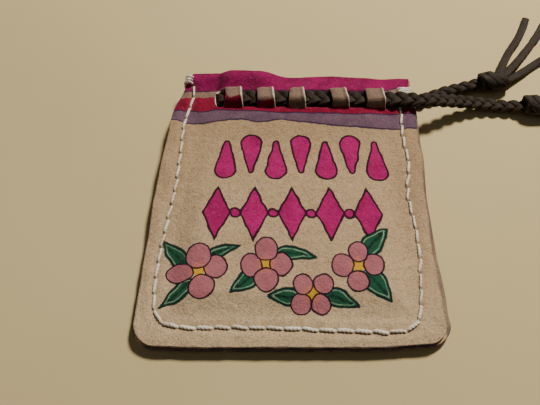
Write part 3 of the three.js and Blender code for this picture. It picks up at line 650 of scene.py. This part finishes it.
def painted_suede():
    m = Nodes("painted_suede_look")
    col, height, nap, fibre, cloud = suede_base(m)
    wob = m.math("MULTIPLY", m.math("SUBTRACT", m.noise(900.0, 3.0, 0.6), 0.5), 0.34)
    fine = m.math("MULTIPLY", m.math("SUBTRACT", nap, 0.5), 0.30)
    wob = m.math("ADD", wob, fine)

    def sd(name):
        return m.math("ADD", m.attr(name), wob)

    def inside(s, soft=0.07):
        return m.ramp(s, -soft, soft, 1.0, 0.0)

    def line(s, half, soft=0.06, at=0.0):
        return m.ramp(m.math("ABSOLUTE", m.math("SUBTRACT", s, at) if at else s), half - soft, half + soft, 1.0, 0.0)

    def dye(base, light, dark, fac, depth=0.9):
        tone = m.mix(m.ramp(cloud, 0.35, 0.66), dark, light)
        tone = m.mix(m.ramp(nap, 0.30, 0.55, 0.42, 0.0), tone, tuple(0.45 * c for c in dark[:3]) + (1.0,))
        tone = m.mix(m.ramp(fibre, 0.56, 0.82, 0.0, 0.32), tone, tuple(min(1, 0.25 + 0.9 * c) for c in light[:3]) + (1.0,))
        return m.mix(m.math("MULTIPLY", fac, depth), base, tone)

    INK = lin(30, 15, 36)
    l1, l2, l3, l4 = sd("line1"), sd("line2"), sd("line3"), sd("line4")
    above4 = m.ramp(l4, -0.1, 0.1)
    col = dye(col, lin(116, 86, 112), lin(92, 66, 98), above4, 0.92)
    above3 = m.ramp(l3, -0.1, 0.1)
    col = dye(col, lin(160, 14, 62), lin(128, 8, 48), above3, 0.98)
    above2 = m.ramp(l2, -0.12, 0.12)
    tan = m.mix(m.ramp(nap, 0.3, 0.62), lin(122, 98, 88), lin(156, 130, 114))
    col = m.mix(above2, col, tan)
    above1 = m.ramp(l1, -0.1, 0.1)
    col = dye(col, lin(164, 18, 100), lin(132, 8, 76), above1, 0.98)
    col = m.mix(m.math("MULTIPLY", line(l4, 0.33), 0.92), col, lin(48, 34, 62, 1.2))
    col = m.mix(m.math("MULTIPLY", line(l3, 0.30), 0.88), col, lin(48, 26, 60, 1.2))
    col = m.mix(m.math("MULTIPLY", line(l1, 0.30), 0.9), col, lin(50, 28, 62, 1.2))
    # generic shapes in the middle
    sh = sd("shape")
    col = dye(col, lin(196, 20, 122), lin(166, 12, 98), inside(sh), 0.98)
    col = m.mix(m.math("MULTIPLY", line(sh, 0.36), 0.95), col, INK)
    # leaves, then the eyes of the flowers, then petals over them
    lf = sd("leaf")
    col = m.mix(inside(lf), col, m.mix(m.ramp(cloud, 0.4, 0.6), lin(40, 98, 76), lin(52, 118, 90)))
    col = m.mix(m.math("MULTIPLY", inside(m.math("ADD", lf, 0.9)), 0.85), col, lin(34, 84, 62))
    col = m.mix(m.math("MULTIPLY", line(lf, 0.12, 0.08, -0.80), m.ramp(m.noise(330.0, 2.0, 0.5), 0.38, 0.56, 0.35, 0.95)), col, lin(160, 186, 150))
    col = m.mix(m.math("MULTIPLY", m.math("MULTIPLY", m.ramp(m.math("ADD", m.attr("vein"), m.math("MULTIPLY", wob, 4.5)), 0.25, 0.6, 1.0, 0.0), inside(m.math("ADD", lf, 0.5))), 0.78), col, lin(16, 42, 34))
    col = m.mix(m.math("MULTIPLY", line(lf, 0.34, 0.09, -0.12), 0.94), col, lin(12, 38, 42))
    eye = sd("eye")
    col = m.mix(inside(eye), col, lin(200, 156, 44, K))
    pa, pb = sd("petal_a"), sd("petal_b")
    petal = m.math("MAXIMUM", inside(pa), inside(pb))
    pink = m.mix(m.ramp(cloud, 0.35, 0.65), lin(180, 108, 121), lin(193, 120, 130))
    pink = m.mix(m.ramp(nap, 0.30, 0.55, 0.35, 0.0), pink, lin(120, 66, 80, K))
    pink = m.mix(m.ramp(m.attr("eye"), 0.2, 1.4, 0.45, 0.0), pink, lin(200, 116, 92, K))
    col = m.mix(petal, col, pink)
    ring = m.math("MAXIMUM", line(pa, 0.27), m.math("MULTIPLY", line(pb, 0.27), m.ramp(pa, -0.05, 0.05)))
    col = m.mix(m.math("MULTIPLY", ring, 0.95), col, INK)
    # inner face and cut rims
    inner = m.math("LESS_THAN", m.attr("side"), -0.5)
    raw = m.mix(m.ramp(nap, 0.3, 0.6), lin(150, 128, 102, K), lin(186, 164, 134, K))
    col = m.mix(inner, col, raw)
    rim = m.ramp(m.attr("rim"), 0.25, 0.8)
    fray = m.noise(700.0, 3.0, 0.7)
    pale = m.mix(m.ramp(fray, 0.35, 0.65), lin(168, 150, 132, K), lin(226, 214, 198, K))
    inkr = m.mix(m.ramp(m.noise(260.0, 3.0, 0.6), 0.44, 0.56), lin(44, 38, 62, 1.2), lin(164, 148, 132, K))
    # painted shade: cut rims are painted darker unless they face right, towards the key light
    pale = m.mix(m.ramp(m.attr("facing"), -0.35, 0.45, 0.75, 0.0), pale, lin(92, 62, 52))
    rimcol = m.mix(m.attr("inked"), pale, inkr)
    rimcol = m.mix(m.attr("lip"), rimcol, lin(150, 40, 100, K))
    col = m.mix(rim, col, rimcol)
    # ink that has crept over the rim onto the face
    creep = m.math("MULTIPLY", m.ramp(m.math("ADD", m.attr("edge_d"), m.math("MULTIPLY", m.noise(220.0, 3.0, 0.6), 1.0)), 0.55, 0.95, 1.0, 0.0), m.attr("inked"))
    col = m.mix(m.math("MULTIPLY", creep, 0.62), col, lin(52, 42, 66, 1.2))
    # painted shade in the crease of the mouth and on the lower part of each strap
    col = m.mix(m.math("MULTIPLY", m.attr("shade"), 0.8), col, m.mix(0.72, col, lin(24, 6, 14), "MULTIPLY"))
    # painted shade makes the stitch holes dark, and the face is a little darker close to the seam line
    col = m.mix(m.ramp(m.attr("hole_d"), 0.42, 0.9, 0.75, 0.0), col, lin(62, 46, 34))
    col = m.mix(m.ramp(m.attr("seam_d"), 0.4, 1.6, 0.25, 0.0), col, lin(120, 98, 76, K))
    m.set(Base_Color=col, Roughness=0.95, Specular_IOR_Level=0.12, Sheen_Weight=0.07, Sheen_Roughness=0.5)
    m.put(m.bsdf.inputs["Sheen Tint"], (0.95, 0.86, 0.76, 1.0))
    n1 = m.bump(height, 0.9, 0.00042)
    n2 = m.bump(m.noise(420.0, 3.0, 0.6, 0.5), 0.5, 0.0006, n1)
    m.put(m.bsdf.inputs["Normal"], n2)
    return m.mat


def plain_suede():
    m = Nodes("plain_suede_look")
    col, height, nap, fibre, cloud = suede_base(m)
    rim = m.ramp(m.attr("rim"), 0.25, 0.8)
    inkr = m.mix(m.ramp(m.noise(240.0, 3.0, 0.6), 0.5, 0.6), lin(38, 34, 60, 1.2), lin(150, 134, 120, K))
    pale = m.mix(m.ramp(m.noise(700.0, 3.0, 0.7), 0.35, 0.65), lin(168, 150, 132, K), lin(220, 206, 188, K))
    col = m.mix(rim, col, m.mix(m.attr("inked"), pale, inkr))
    creep = m.math("MULTIPLY", m.ramp(m.math("ADD", m.attr("edge_d"), m.math("MULTIPLY", m.noise(220.0, 3.0, 0.6), 1.0)), 0.6, 1.1, 1.0, 0.0), m.attr("inked"))
    col = m.mix(m.math("MULTIPLY", creep, 0.7), col, lin(52, 42, 66, 1.2))
    # painted shade in the stitch holes
    col = m.mix(m.ramp(m.attr("hole_d"), 0.42, 0.9, 0.75, 0.0), col, lin(62, 46, 34))
    m.set(Base_Color=col, Roughness=0.95, Specular_IOR_Level=0.12, Sheen_Weight=0.07, Sheen_Roughness=0.5)
    n1 = m.bump(height, 0.85, 0.00030)
    n2 = m.bump(m.noise(240.0, 3.0, 0.55, 0.5), 0.4, 0.0006, n1)
    m.put(m.bsdf.inputs["Normal"], n2)
    return m.mat


def lace_leather():
    m = Nodes("dark_lace_look")
    n1 = m.noise(520.0, 4.0, 0.65, 0.5)
    n2 = m.noise(2400.0, 3.0, 0.6)
    n3 = m.noise(120.0, 3.0, 0.6)
    col = m.mix(m.ramp(n3, 0.35, 0.65), lin(40, 31, 26), lin(54, 44, 37))
    col = m.mix(m.ramp(n1, 0.50, 0.72, 0.0, 0.6), col, lin(82, 70, 59))
    col = m.mix(m.ramp(n2, 0.30, 0.48, 0.5, 0.0), col, lin(30, 24, 21))
    worn = m.math("MULTIPLY", m.ramp(m.attr("edge"), 0.55, 1.0), m.ramp(m.noise(300.0, 3.0, 0.6), 0.4, 0.62))
    col = m.mix(m.math("MULTIPLY", worn, 0.5), col, lin(92, 79, 67))
    col = m.mix(m.attr("cut"), col, lin(80, 70, 60))
    rough = m.ramp(n1, 0.3, 0.7, 0.62, 0.82)
    m.set(Base_Color=col, Roughness=rough, Specular_IOR_Level=0.2, Sheen_Weight=0.0)
    b1 = m.bump(n2, 0.35, 0.00012)
    b2 = m.bump(n1, 0.5, 0.00028, b1)
    m.put(m.bsdf.inputs["Normal"], b2)
    return m.mat


def waxed_thread():
    m = Nodes("waxed_thread_look")
    n1 = m.noise(700.0, 3.0, 0.6)
    n2 = m.noise(180.0, 2.0, 0.5)
    col = m.mix(m.ramp(n2, 0.35, 0.65), lin(236, 230, 218, 1.15), lin(218, 208, 190, 1.15))
    col = m.mix(m.ramp(n1, 0.3, 0.48, 0.5, 0.0), col, lin(150, 134, 112))
    # painted shade in the grooves between the two twisted plies
    col = m.mix(m.ramp(m.attr("ply"), 0.0, 0.35, 0.6, 0.0), col, lin(128, 112, 92))
    m.set(Base_Color=col, Roughness=0.48, Specular_IOR_Level=0.5, Sheen_Weight=0.1)
    m.put(m.bsdf.inputs["Subsurface Weight"], 0.08)
    m.put(m.bsdf.inputs["Subsurface Radius"], (0.001, 0.0007, 0.0005))
    m.put(m.bsdf.inputs["Normal"], m.bump(n1, 0.5, 0.00012))
    return m.mat


MAT_FRONT, MAT_BACK, MAT_LACE, MAT_THREAD = painted_suede(), plain_suede(), lace_leather(), waxed_thread()


def finish_piece(o, mat, slot, *nodes):
    o.data.materials.clear()
    o.data.materials.append(mat)
    if nodes:
        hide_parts(*nodes)
    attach(o, BODY)
    return o


# ------------------------------------------------------------------ panels


def inked_rim(flat):
    """Where the rims were run over with dark dye: the foot, and stretches of both sides."""
    x, y = flat[:, 0], flat[:, 1]
    foot = 1 - ease(-47, -41, y)
    sides = (np.abs(x) > 38) * (y < 46)
    patchy = 0.5 + 0.5 * np.sin(y * 0.23 + 1.1) * np.sin(y * 0.11 + 0.4)
    return np.clip(np.maximum(foot, sides * mix(0.55, 1.0, patchy)), 0, 1)


def panel_attrs(info, painted):
    at = {"facing": info["facing"], "rim": info["rim"], "side": info["side"], "hole_d": info["hole"], "seam_d": info["seam"], "edge_d": np.clip(info["margin"], 0, 9), "inked": inked_rim(info["flat"])}
    if painted:
        at.update(paint(info["flat"]))
        fx, fy = info["flat"][:, 0], info["flat"][:, 1]
        at["lip"] = ease(50.5, 51.5, fy)
        # painted shade: darker in the crease of the mouth and on the lower part of each strap over the braid
        shade = 0.75 * lip_fold(fx + 0.3, fy)
        shade = np.maximum(shade, 0.5 * np.isin(info["kind"], ["over"]) * ease(0, 1, (39.0 - fy) / 2.2) * (1 - ease(0, 1, (36.4 - fy) / 1.4)))
        at["shade"] = shade
    return at


PITCH = 0.52
fv, ff, finfo, farea = leather_sheet("front", FRONT_SLITS, FRONT_KINDS, front_level, 0.0, PITCH, 1)
LEAN_X = [-31.0, -23.9, -17.9, -12.2, -5.8, -0.1, 5.7, 15.7, 21.8, 28.9, 35.7, 41.0]
LEAN = [0.0, 0.15, 0.42, 0.25, 0.52, -0.35, 0.5, 0.8, 0.85, 0.3, 0.55, 0.0]
down = (WEAVE_Y - fv[:, 1]) / SLIT_HALF
fv[:, 0] += np.interp(fv[:, 0], LEAN_X, LEAN) * np.where(np.abs(down) < 1, down, np.sign(down) * np.clip((2.2 - np.abs(down)) / 1.2, 0, 1))
front = make_object("painted_front", fv, ff, panel_attrs(finfo, True))
finish_piece(front, MAT_FRONT, "painted_suede", "front_panel")
bv, bf, binfo, barea = leather_sheet("back", BACK_SLITS, BACK_KINDS, back_level, 0.5, 0.7, -1)
back = make_object("plain_back", bv, bf, panel_attrs(binfo, False))
finish_piece(back, MAT_BACK, "plain_suede", "back_panel")
print("front faces", len(ff), "back faces", len(bf), "areas", round(farea), round(barea))

# ------------------------------------------------------------------ braid of three laces


def sweep_strip(path, wide, up, w, t, sides=16, power=3.0, twist=None, edge_attr=None):
    """A flat rounded strip along path. wide is the direction of its width at each point, and up its thickness."""
    a = np.linspace(0, 2 * np.pi, sides, endpoint=False)
    cx = np.sign(np.cos(a)) * np.abs(np.cos(a)) ** (2 / power)
    cy = np.sign(np.sin(a)) * np.abs(np.sin(a)) ** (2 / power)
    w = np.broadcast_to(w, (len(path),))[:, None]
    t = np.broadcast_to(t, (len(path),))[:, None]
    V = path[:, None, :] + wide[:, None, :] * (cx[None, :] * w / 2)[..., None] + up[:, None, :] * (cy[None, :] * t / 2)[..., None]
    n = len(path)
    idx = np.arange(n * sides).reshape(n, sides)
    q = np.stack([idx[:-1], np.roll(idx[:-1], -1, 1), np.roll(idx[1:], -1, 1), idx[1:]], -1).reshape(-1, 4)
    faces = [tuple(f) for f in q]
    V = V.reshape(-1, 3)
    edge = np.tile(np.abs(cx), n)
    cut = np.zeros(len(V))
    # domed ends
    for end, s in ((0, -1), (n - 1, 1)):
        c = path[end] + s * 0.18 * unit(path[end] - path[max(0, end - 1) if s > 0 else 1])
        V = np.vstack([V, c])
        edge, cut = np.append(edge, 1.0), np.append(cut, 1.0)
        k = len(V) - 1
        ring = idx[end]
        for i in range(sides):
            j = (i + 1) % sides
            faces.append((ring[j], ring[i], k) if s < 0 else (ring[i], ring[j], k))
    return V, faces, edge, cut


def join(parts):
    V, F, off = [], [], 0
    extra = [[] for _ in parts[0][2:]]
    for p in parts:
        V.append(p[0])
        F += [tuple(i + off for i in f) for f in p[1]]
        for e, x in zip(extra, p[2:]):
            e.append(x)
        off += len(p[0])
    return (np.vstack(V), F, *[np.concatenate(e) for e in extra])


# One centreline from knot to knot: in at the front knot, through the weave, round the turn, out to the back knot.
def line3(a, b, n):
    return [tuple(mix(np.array(a, float), np.array(b, float), k / n)) for k in range(n)]


r_turn = (ZF - ZB) / 2
turn = [(TURN_X + r_turn * math.cos(a), WEAVE_Y, (ZF + ZB) / 2 + r_turn * math.sin(a)) for a in np.linspace(math.pi / 2, 1.5 * math.pi, 9)]
front_part = list(reversed(FRONT_END))
woven_part = line3((34.5, WEAVE_Y, ZF), (TURN_X, WEAVE_Y, ZF), 12) + turn + list(reversed(line3((28.0, WEAVE_Y, ZB), (TURN_X, WEAVE_Y, ZB), 10)))
STEP = 0.33
centre, total = catmull(front_part + woven_part + BACK_END, STEP)
s_all = np.linspace(0, total, len(centre))
tangent = unit(np.gradient(centre, axis=0))
side_dir = np.zeros_like(centre)
prev = unit(np.cross(np.array([0, 0, 1.0]), tangent[0]))
for i in range(len(centre)):
    v = prev - tangent[i] * np.dot(prev, tangent[i])
    prev = v / np.linalg.norm(v)
    side_dir[i] = prev
# keep the width level in the free ends
up_dir = np.cross(tangent, side_dir)
i_front = int(np.argmin(np.linalg.norm(centre - np.array(FRONT_END[0]), axis=1)))
i_back = int(len(centre) - 1 - np.argmin(np.linalg.norm(centre[::-1] - np.array(BACK_END[0]), axis=1)))
PITCH_B = 13.2
A_W, B_T = 1.72, 0.98
LACE_W, LACE_T = 3.2, 1.5


# pulled tight, the free ends are narrower than the run that lies flat in the slits
loose_f = np.clip((s_all[i_front] - s_all - 3.0) / 14.0, 0, 1)
loose_b = np.clip((s_all - s_all[i_back] - 1.0) / 10.0, 0, 1)
tight = (lambda u: u * u * (3 - 2 * u))(np.maximum(loose_f, loose_b))


def braid(i0, i1):
    parts = []
    for k in range(3):
        ph = 2 * np.pi * s_all / PITCH_B + 2 * np.pi * k / 3
        lat, hgt = A_W * (1 - 0.24 * tight) * np.sin(ph), B_T * np.sin(2 * ph)
        p = centre + side_dir * lat[:, None] + up_dir * hgt[:, None]
        tg = unit(np.gradient(p, axis=0))
        wide = unit(np.cross(up_dir, tg))
        upn = np.cross(tg, wide)
        # the lace tips as it goes over and under its neighbours
        tip = 0.38 * np.sin(ph) ** 3
        w2 = wide * np.cos(tip)[:, None] + upn * np.sin(tip)[:, None]
        u2 = np.cross(tg, w2)
        lump = 1 + 0.05 * np.sin(s_all * 2.1 + k)
        sl = slice(i0, i1 + 1)
        parts.append(sweep_strip(p[sl], w2[sl], u2[sl], (LACE_W * lump * (1 - 0.15 * tight))[sl], LACE_T * np.ones(len(s_all))[sl]))
    return join(parts)


def lace_object(name, data, *nodes):
    V, F, edge, cut = data
    o = make_object(name, V, F, {"edge": edge, "cut": cut * 0.9})
    return finish_piece(o, MAT_LACE, "dark_lace", *nodes)


V, F, edge, cut = braid(i_front, i_back)
woven = lace_object("braid_woven", (V, F, edge, cut * 0), "drawstring_woven")
V, F, edge, cut = braid(0, i_front)
end_f = lace_object("braid_end_front", (V, F, edge, cut * 0), "drawstring_end_front")
V, F, edge, cut = braid(i_back, len(centre) - 1)
end_b = lace_object("braid_end_back", (V, F, edge, cut * 0), "drawstring_end_back")

# ------------------------------------------------------------------ knots and tails


def knot(at, turn_deg, seed):
    """A pulled knot: laces wound round the bundle, a crossing lace over them, and the bundle inside."""
    c, s = math.cos(math.radians(turn_deg)), math.sin(math.radians(turn_deg))
    M = np.array([[c, s, 0], [-s, c, 0], [0, 0, 1.0]])
    r = np.random.RandomState(seed)
    parts = []
    # bundle inside
    u = np.linspace(-6.6, 6.6, 40)
    core = np.stack([u, 0.35 * np.sin(u * 0.5), 0 * u - 0.1], 1)
    prof = np.sqrt(np.clip(1 - (np.abs(u) / 7.0) ** 3.0, 0.12, 1))
    tg = unit(np.gradient(core, axis=0))
    wd = unit(np.cross(np.array([0, 0, 1.0]), tg))
    parts.append(sweep_strip(core, wd, np.cross(tg, wd), 7.4 * prof, 6.0 * prof, 24, 2.2))
    # wraps: each is a ring about the axis, tilted, of flat lace
    for x0, tilt, ry, rz, w in ((-5.2, 0.12, 3.3, 2.75, 2.9), (-1.9, -0.72, 4.35, 3.5, 3.5), (1.9, -0.72, 4.5, 3.55, 3.5), (5.0, -0.4, 3.8, 3.1, 3.2)):
        a = np.linspace(0, 2 * np.pi, 73)
        wob = 0.12 * np.sin(3 * a + r.uniform(0, 6))
        p = np.stack([x0 + tilt * ry * np.sin(a + 0.5) + 0.5 * (a / (2 * np.pi) - 0.5), (ry + wob) * np.cos(a), (rz + wob) * np.sin(a)], 1)
        tg = unit(np.gradient(p, axis=0))
        outw = unit(np.stack([0 * a, np.cos(a) / ry, np.sin(a) / rz], 1))
        wd = unit(np.cross(outw, tg))
        up = np.cross(tg, wd)
        parts.append(sweep_strip(p, wd, up, w, 1.5, 16, 2.5))
    # one lace crossing slantwise over the wraps on top
    t = np.linspace(0, 1, 60)
    for sgn, ph in ((1, 0.0), (-1, 0.4)):
        ang = math.pi / 2 + sgn * (t - 0.5) * 2.5 + ph
        p = np.stack([mix(-4.6, 5.2, t), 4.25 * np.cos(ang) * (1 + 0.03 * np.sin(9 * t)), 3.62 * np.sin(ang)], 1)
        p *= np.array([1, 1, 1.0])
        if sgn < 0:
            p[:, 2] *= -0.9
        tg = unit(np.gradient(p, axis=0))
        outw = unit(np.stack([0 * t, np.cos(ang), np.sin(ang) * (1 if sgn > 0 else -1)], 1))
        wd = unit(np.cross(outw, tg))
        taper = np.sqrt(np.clip(np.sin(np.pi * np.clip(t, 0.02, 0.98)), 0.1, 1))
        parts.append(sweep_strip(p, wd, np.cross(tg, wd), 3.0 * taper, 1.45, 16, 2.5))
    V, F, edge, cut = join(parts)
    V = (V * KNOT_SIZE) @ M + np.array(at)
    V[:, 2] = np.maximum(V[:, 2], 0.12)
    return V, F, edge, cut * 0


def tail(points, seed):
    p, length = catmull(points, 0.5)
    s = np.linspace(0, length, len(p))
    tg = unit(np.gradient(p, axis=0))
    wd = unit(np.cross(np.array([0, 0, 1.0]), tg))
    up = np.cross(tg, wd)
    roll = 0.22 * np.sin(s / length * 3.0 + seed) * np.clip((length - s) / 10, 0.0, 1)
    w2 = wd * np.cos(roll)[:, None] + up * np.sin(roll)[:, None]
    u2 = np.cross(tg, w2)
    r = Waves(60 + seed, 9.0)
    V, F, edge, cut = sweep_strip(p, w2, u2, 3.35 * (1 + 0.05 * r(s, 0 * s)), 1.6 * np.ones(len(s)), 16, 3.0)
    V[:, 2] = np.maximum(V[:, 2], 0.03)
    return (V, F, edge, cut), p, length


knots, tails = {}, {}
for which, (at, deg) in KNOTS.items():
    knots[which] = lace_object("knot_" + which, knot(at, deg, 5 if which == "front" else 6), "end_knot_" + which)
    for i, pts in enumerate(TAILS[which]):
        data, path, length = tail(pts, i + (0 if which == "front" else 3))
        o = lace_object("tail_%s_%d" % (which, i + 1), data, "lace_tail_%s_%d" % (which, i + 1))
        tails[(which, i)] = o

for o, a, b, which in ((end_f, 0, i_front, "front"), (end_b, i_back, len(centre) - 1, "back")):
    path = centre[a : b + 1]
    if which == "front":
        path = path[::-1]
    length = float(np.linalg.norm(np.diff(path, axis=0), axis=1).sum())
    print("free end", which, round(length, 1))

# ------------------------------------------------------------------ thread

top_grid, low_grid = fv, bv
f_top = finfo["side"] > 0.5
b_low = binfo["side"] < -0.5
from mathutils import kdtree


def height_lookup(V, mask):
    pts = V[mask]
    kd = kdtree.KDTree(len(pts))
    for i, p in enumerate(pts):
        kd.insert((p[0], p[1], 0.0), i)
    kd.balance()

    def at(x, y):
        got = kd.find_n((x, y, 0.0), 4)
        w = [1 / (d + 0.05) for _, _, d in got]
        return sum(pts[i][2] * q for (_, i, _), q in zip(got, w)) / sum(w)

    return at


edge_zone_f = f_top & (finfo["margin"] < 13)
edge_zone_b = b_low & (binfo["margin"] < 13)
top_at, low_at = height_lookup(fv, edge_zone_f), height_lookup(bv, edge_zone_b)


def ply_tube(path, r, flatten, turns, sides=12, face=1.0, taper=True):
    """Two twisted plies of waxed thread as one closed form, thin at both ends."""
    n = len(path)
    tg = unit(np.gradient(path, axis=0))
    ref = np.array([0, 0, 1.0])
    wd = np.cross(ref, tg)
    bad = np.linalg.norm(wd, axis=1) < 0.2
    wd[bad] = np.array([0, 1.0, 0])
    wd = unit(wd)
    up = np.cross(tg, wd)
    a = np.linspace(0, 2 * np.pi, sides, endpoint=False)
    t = np.linspace(0, 1, n)
    size = np.ones(n)
    if taper:
        size = 0.66 + 0.34 * np.sin(np.pi * np.clip(t, 0, 1)) ** 0.5
    V, ply = [], []
    for i in range(n):
        ph = turns * 2 * np.pi * t[i]
        rr = r * size[i] * (0.74 + 0.36 * np.abs(np.cos(a - ph)))
        V.append(path[i] + wd[i] * (np.cos(a) * rr)[:, None] + up[i] * (np.sin(a) * rr * flatten)[:, None])
        ply.append(np.abs(np.cos(a - ph)))
    V = np.vstack(V)
    ply = np.concatenate(ply)
    idx = np.arange(n * sides).reshape(n, sides)
    q = np.stack([idx[:-1], np.roll(idx[:-1], -1, 1), np.roll(idx[1:], -1, 1), idx[1:]], -1).reshape(-1, 4)
    F = [tuple(f) for f in q]
    for end, s in ((0, -1), (n - 1, 1)):
        V = np.vstack([V, path[end]])
        ply = np.append(ply, 1.0)
        k = len(V) - 1
        for i in range(sides):
            j = (i + 1) % sides
            F.append((idx[end][j], idx[end][i], k) if s < 0 else (idx[end][i], idx[end][j], k))
    return V, F, ply


r2 = np.random.RandomState(21)
th = []
for i in range(len(holes) - 1):
    a, b = holes[i], holes[i + 1]
    d = unit((b - a)[None])[0]
    nrm = np.array([-d[1], d[0]])
    lean = r2.uniform(-0.22, 0.22)
    for face in (1, -1):
        t = np.linspace(0, 1, 22)
        slant = 0.2 + r2.uniform(-0.16, 0.16)
        xy = a[None] + (b - a)[None] * mix(t, 0.5, -0.01)[:, None] + nrm[None] * (slant * (1 - 2 * t) + 0.5 * lean * np.sin(2 * np.pi * t) + r2.uniform(-0.15, 0.15) * np.sin(np.pi * t))[:, None]
        if face > 0:
            base = np.array([top_at(*q) for q in xy])
            base = np.maximum(base, mix(base.max(), base, 0.55))
            z = base + mix(-0.75, 0.42, np.clip(np.sin(np.pi * t) * 2.6, 0, 1))
            r = (0.58 if abs(d[0]) > 0.7 else 0.5) * r2.uniform(0.86, 1.12)
        else:
            base = np.array([low_at(*q) for q in xy])
            z = np.maximum(base - mix(-0.7, 0.40, np.clip(np.sin(np.pi * t) * 2.6, 0, 1)), 0.56)
            r = 0.5
        th.append(ply_tube(np.column_stack([xy, z]), r, 0.74, 2.3 if face > 0 else -2.3))


def tack_loop(y, hole, edge, sgn, r=0.52, wob=0.0):
    """A loop of thread from a hole round the edge of both panels and back to the hole."""
    mid_z = float(joint_height(hole, y))
    hi = top_at(hole, y) + 0.42
    lo = low_at(hole, y) - 0.42
    pts = [(hole, y, mid_z), (hole, y, hi - 0.5), (hole + sgn * 0.7, y, hi + 0.12), (mix(hole, edge, 0.55), y + wob, hi + 0.1), (edge - sgn * 0.5, y + wob, hi - 0.02), (edge, y + wob, hi - 0.8), (edge, y, lo + 0.8), (edge - sgn * 0.5, y, lo), (mix(hole, edge, 0.5), y, lo - 0.1), (hole + sgn * 0.7, y, lo - 0.1), (hole, y, lo + 0.5), (hole, y, mid_z)]
    p, _ = catmull(pts, 0.4)
    return ply_tube(p, r, 1.0, 5.0, 10, taper=False)


le = lambda y: float(left_of(y)) - 0.55
ri = lambda y: float(right_of(y)) + 0.75
for y, h, w in ((50.9, -37.6, 0.3), (49.9, -37.9, -0.25), (48.7, -37.8, 0.35)):
    th.append(tack_loop(y, h, le(y), -1, r=0.46, wob=w))
for y, h, w in ((44.9, 42.6, 0.25), (45.5, 42.3, -0.1), (46.2, 42.5, 0.15), (46.9, 42.2, 0.1)):
    th.append(tack_loop(y, h, ri(y), 1, r=0.62, wob=w))
V, F, ply = join(th)
thread = make_object("waxed_stitches", V, F, {"ply": ply})
finish_piece(thread, MAT_THREAD, "waxed_thread", "seam_thread")

# ------------------------------------------------------------------ floor and light


def stage_plane():
    me = bpy.data.meshes.new("floor")
    me.from_pydata([(-3, -3, -0.0002), (3, -3, -0.0002), (3, 3, -0.0002), (-3, 3, -0.0002)], [], [(0, 1, 2, 3)])
    o = bpy.data.objects.new("floor", me)
    bpy.context.scene.collection.objects.link(o)
    m = Nodes("floor_look")
    col = m.mix(m.ramp(m.noise(9.0, 3.0, 0.5), 0.3, 0.7), lin(200, 183, 138, 1.25), lin(194, 177, 133, 1.25))
    m.set(Base_Color=col, Roughness=0.9, Specular_IOR_Level=0.2)
    me.materials.append(m.mat)


stage_plane()


def area_light(name, azimuth, elevation, distance, size, power, colour):
    d = bpy.data.lights.new(name, "AREA")
    d.shape, d.size, d.energy, d.color = "DISK", size, power, colour
    o = bpy.data.objects.new(name, d)
    a, e = math.radians(azimuth), math.radians(elevation)
    v = np.array([math.sin(a) * math.cos(e), math.cos(a) * math.cos(e), math.sin(e)])
    o.location = tuple(v * distance + np.array([0, 0, 0.0]))
    from mathutils import Vector
    o.rotation_euler = Vector(tuple(v)).to_track_quat("Z", "Y").to_euler()
    bpy.context.scene.collection.objects.link(o)
    return o


area_light("key", 33, 50, 0.9, 0.15, 9.9, (1.0, 0.93, 0.80))
area_light("fill", -120, 62, 1.1, 0.9, 0.4, (1.0, 0.96, 0.9))
world = bpy.data.worlds.new("world")
world.use_nodes = True
world.node_tree.nodes["Background"].inputs[0].default_value = (1.0, 0.95, 0.88, 1.0)
world.node_tree.nodes["Background"].inputs[1].default_value = 0.04
bpy.context.scene.world = world
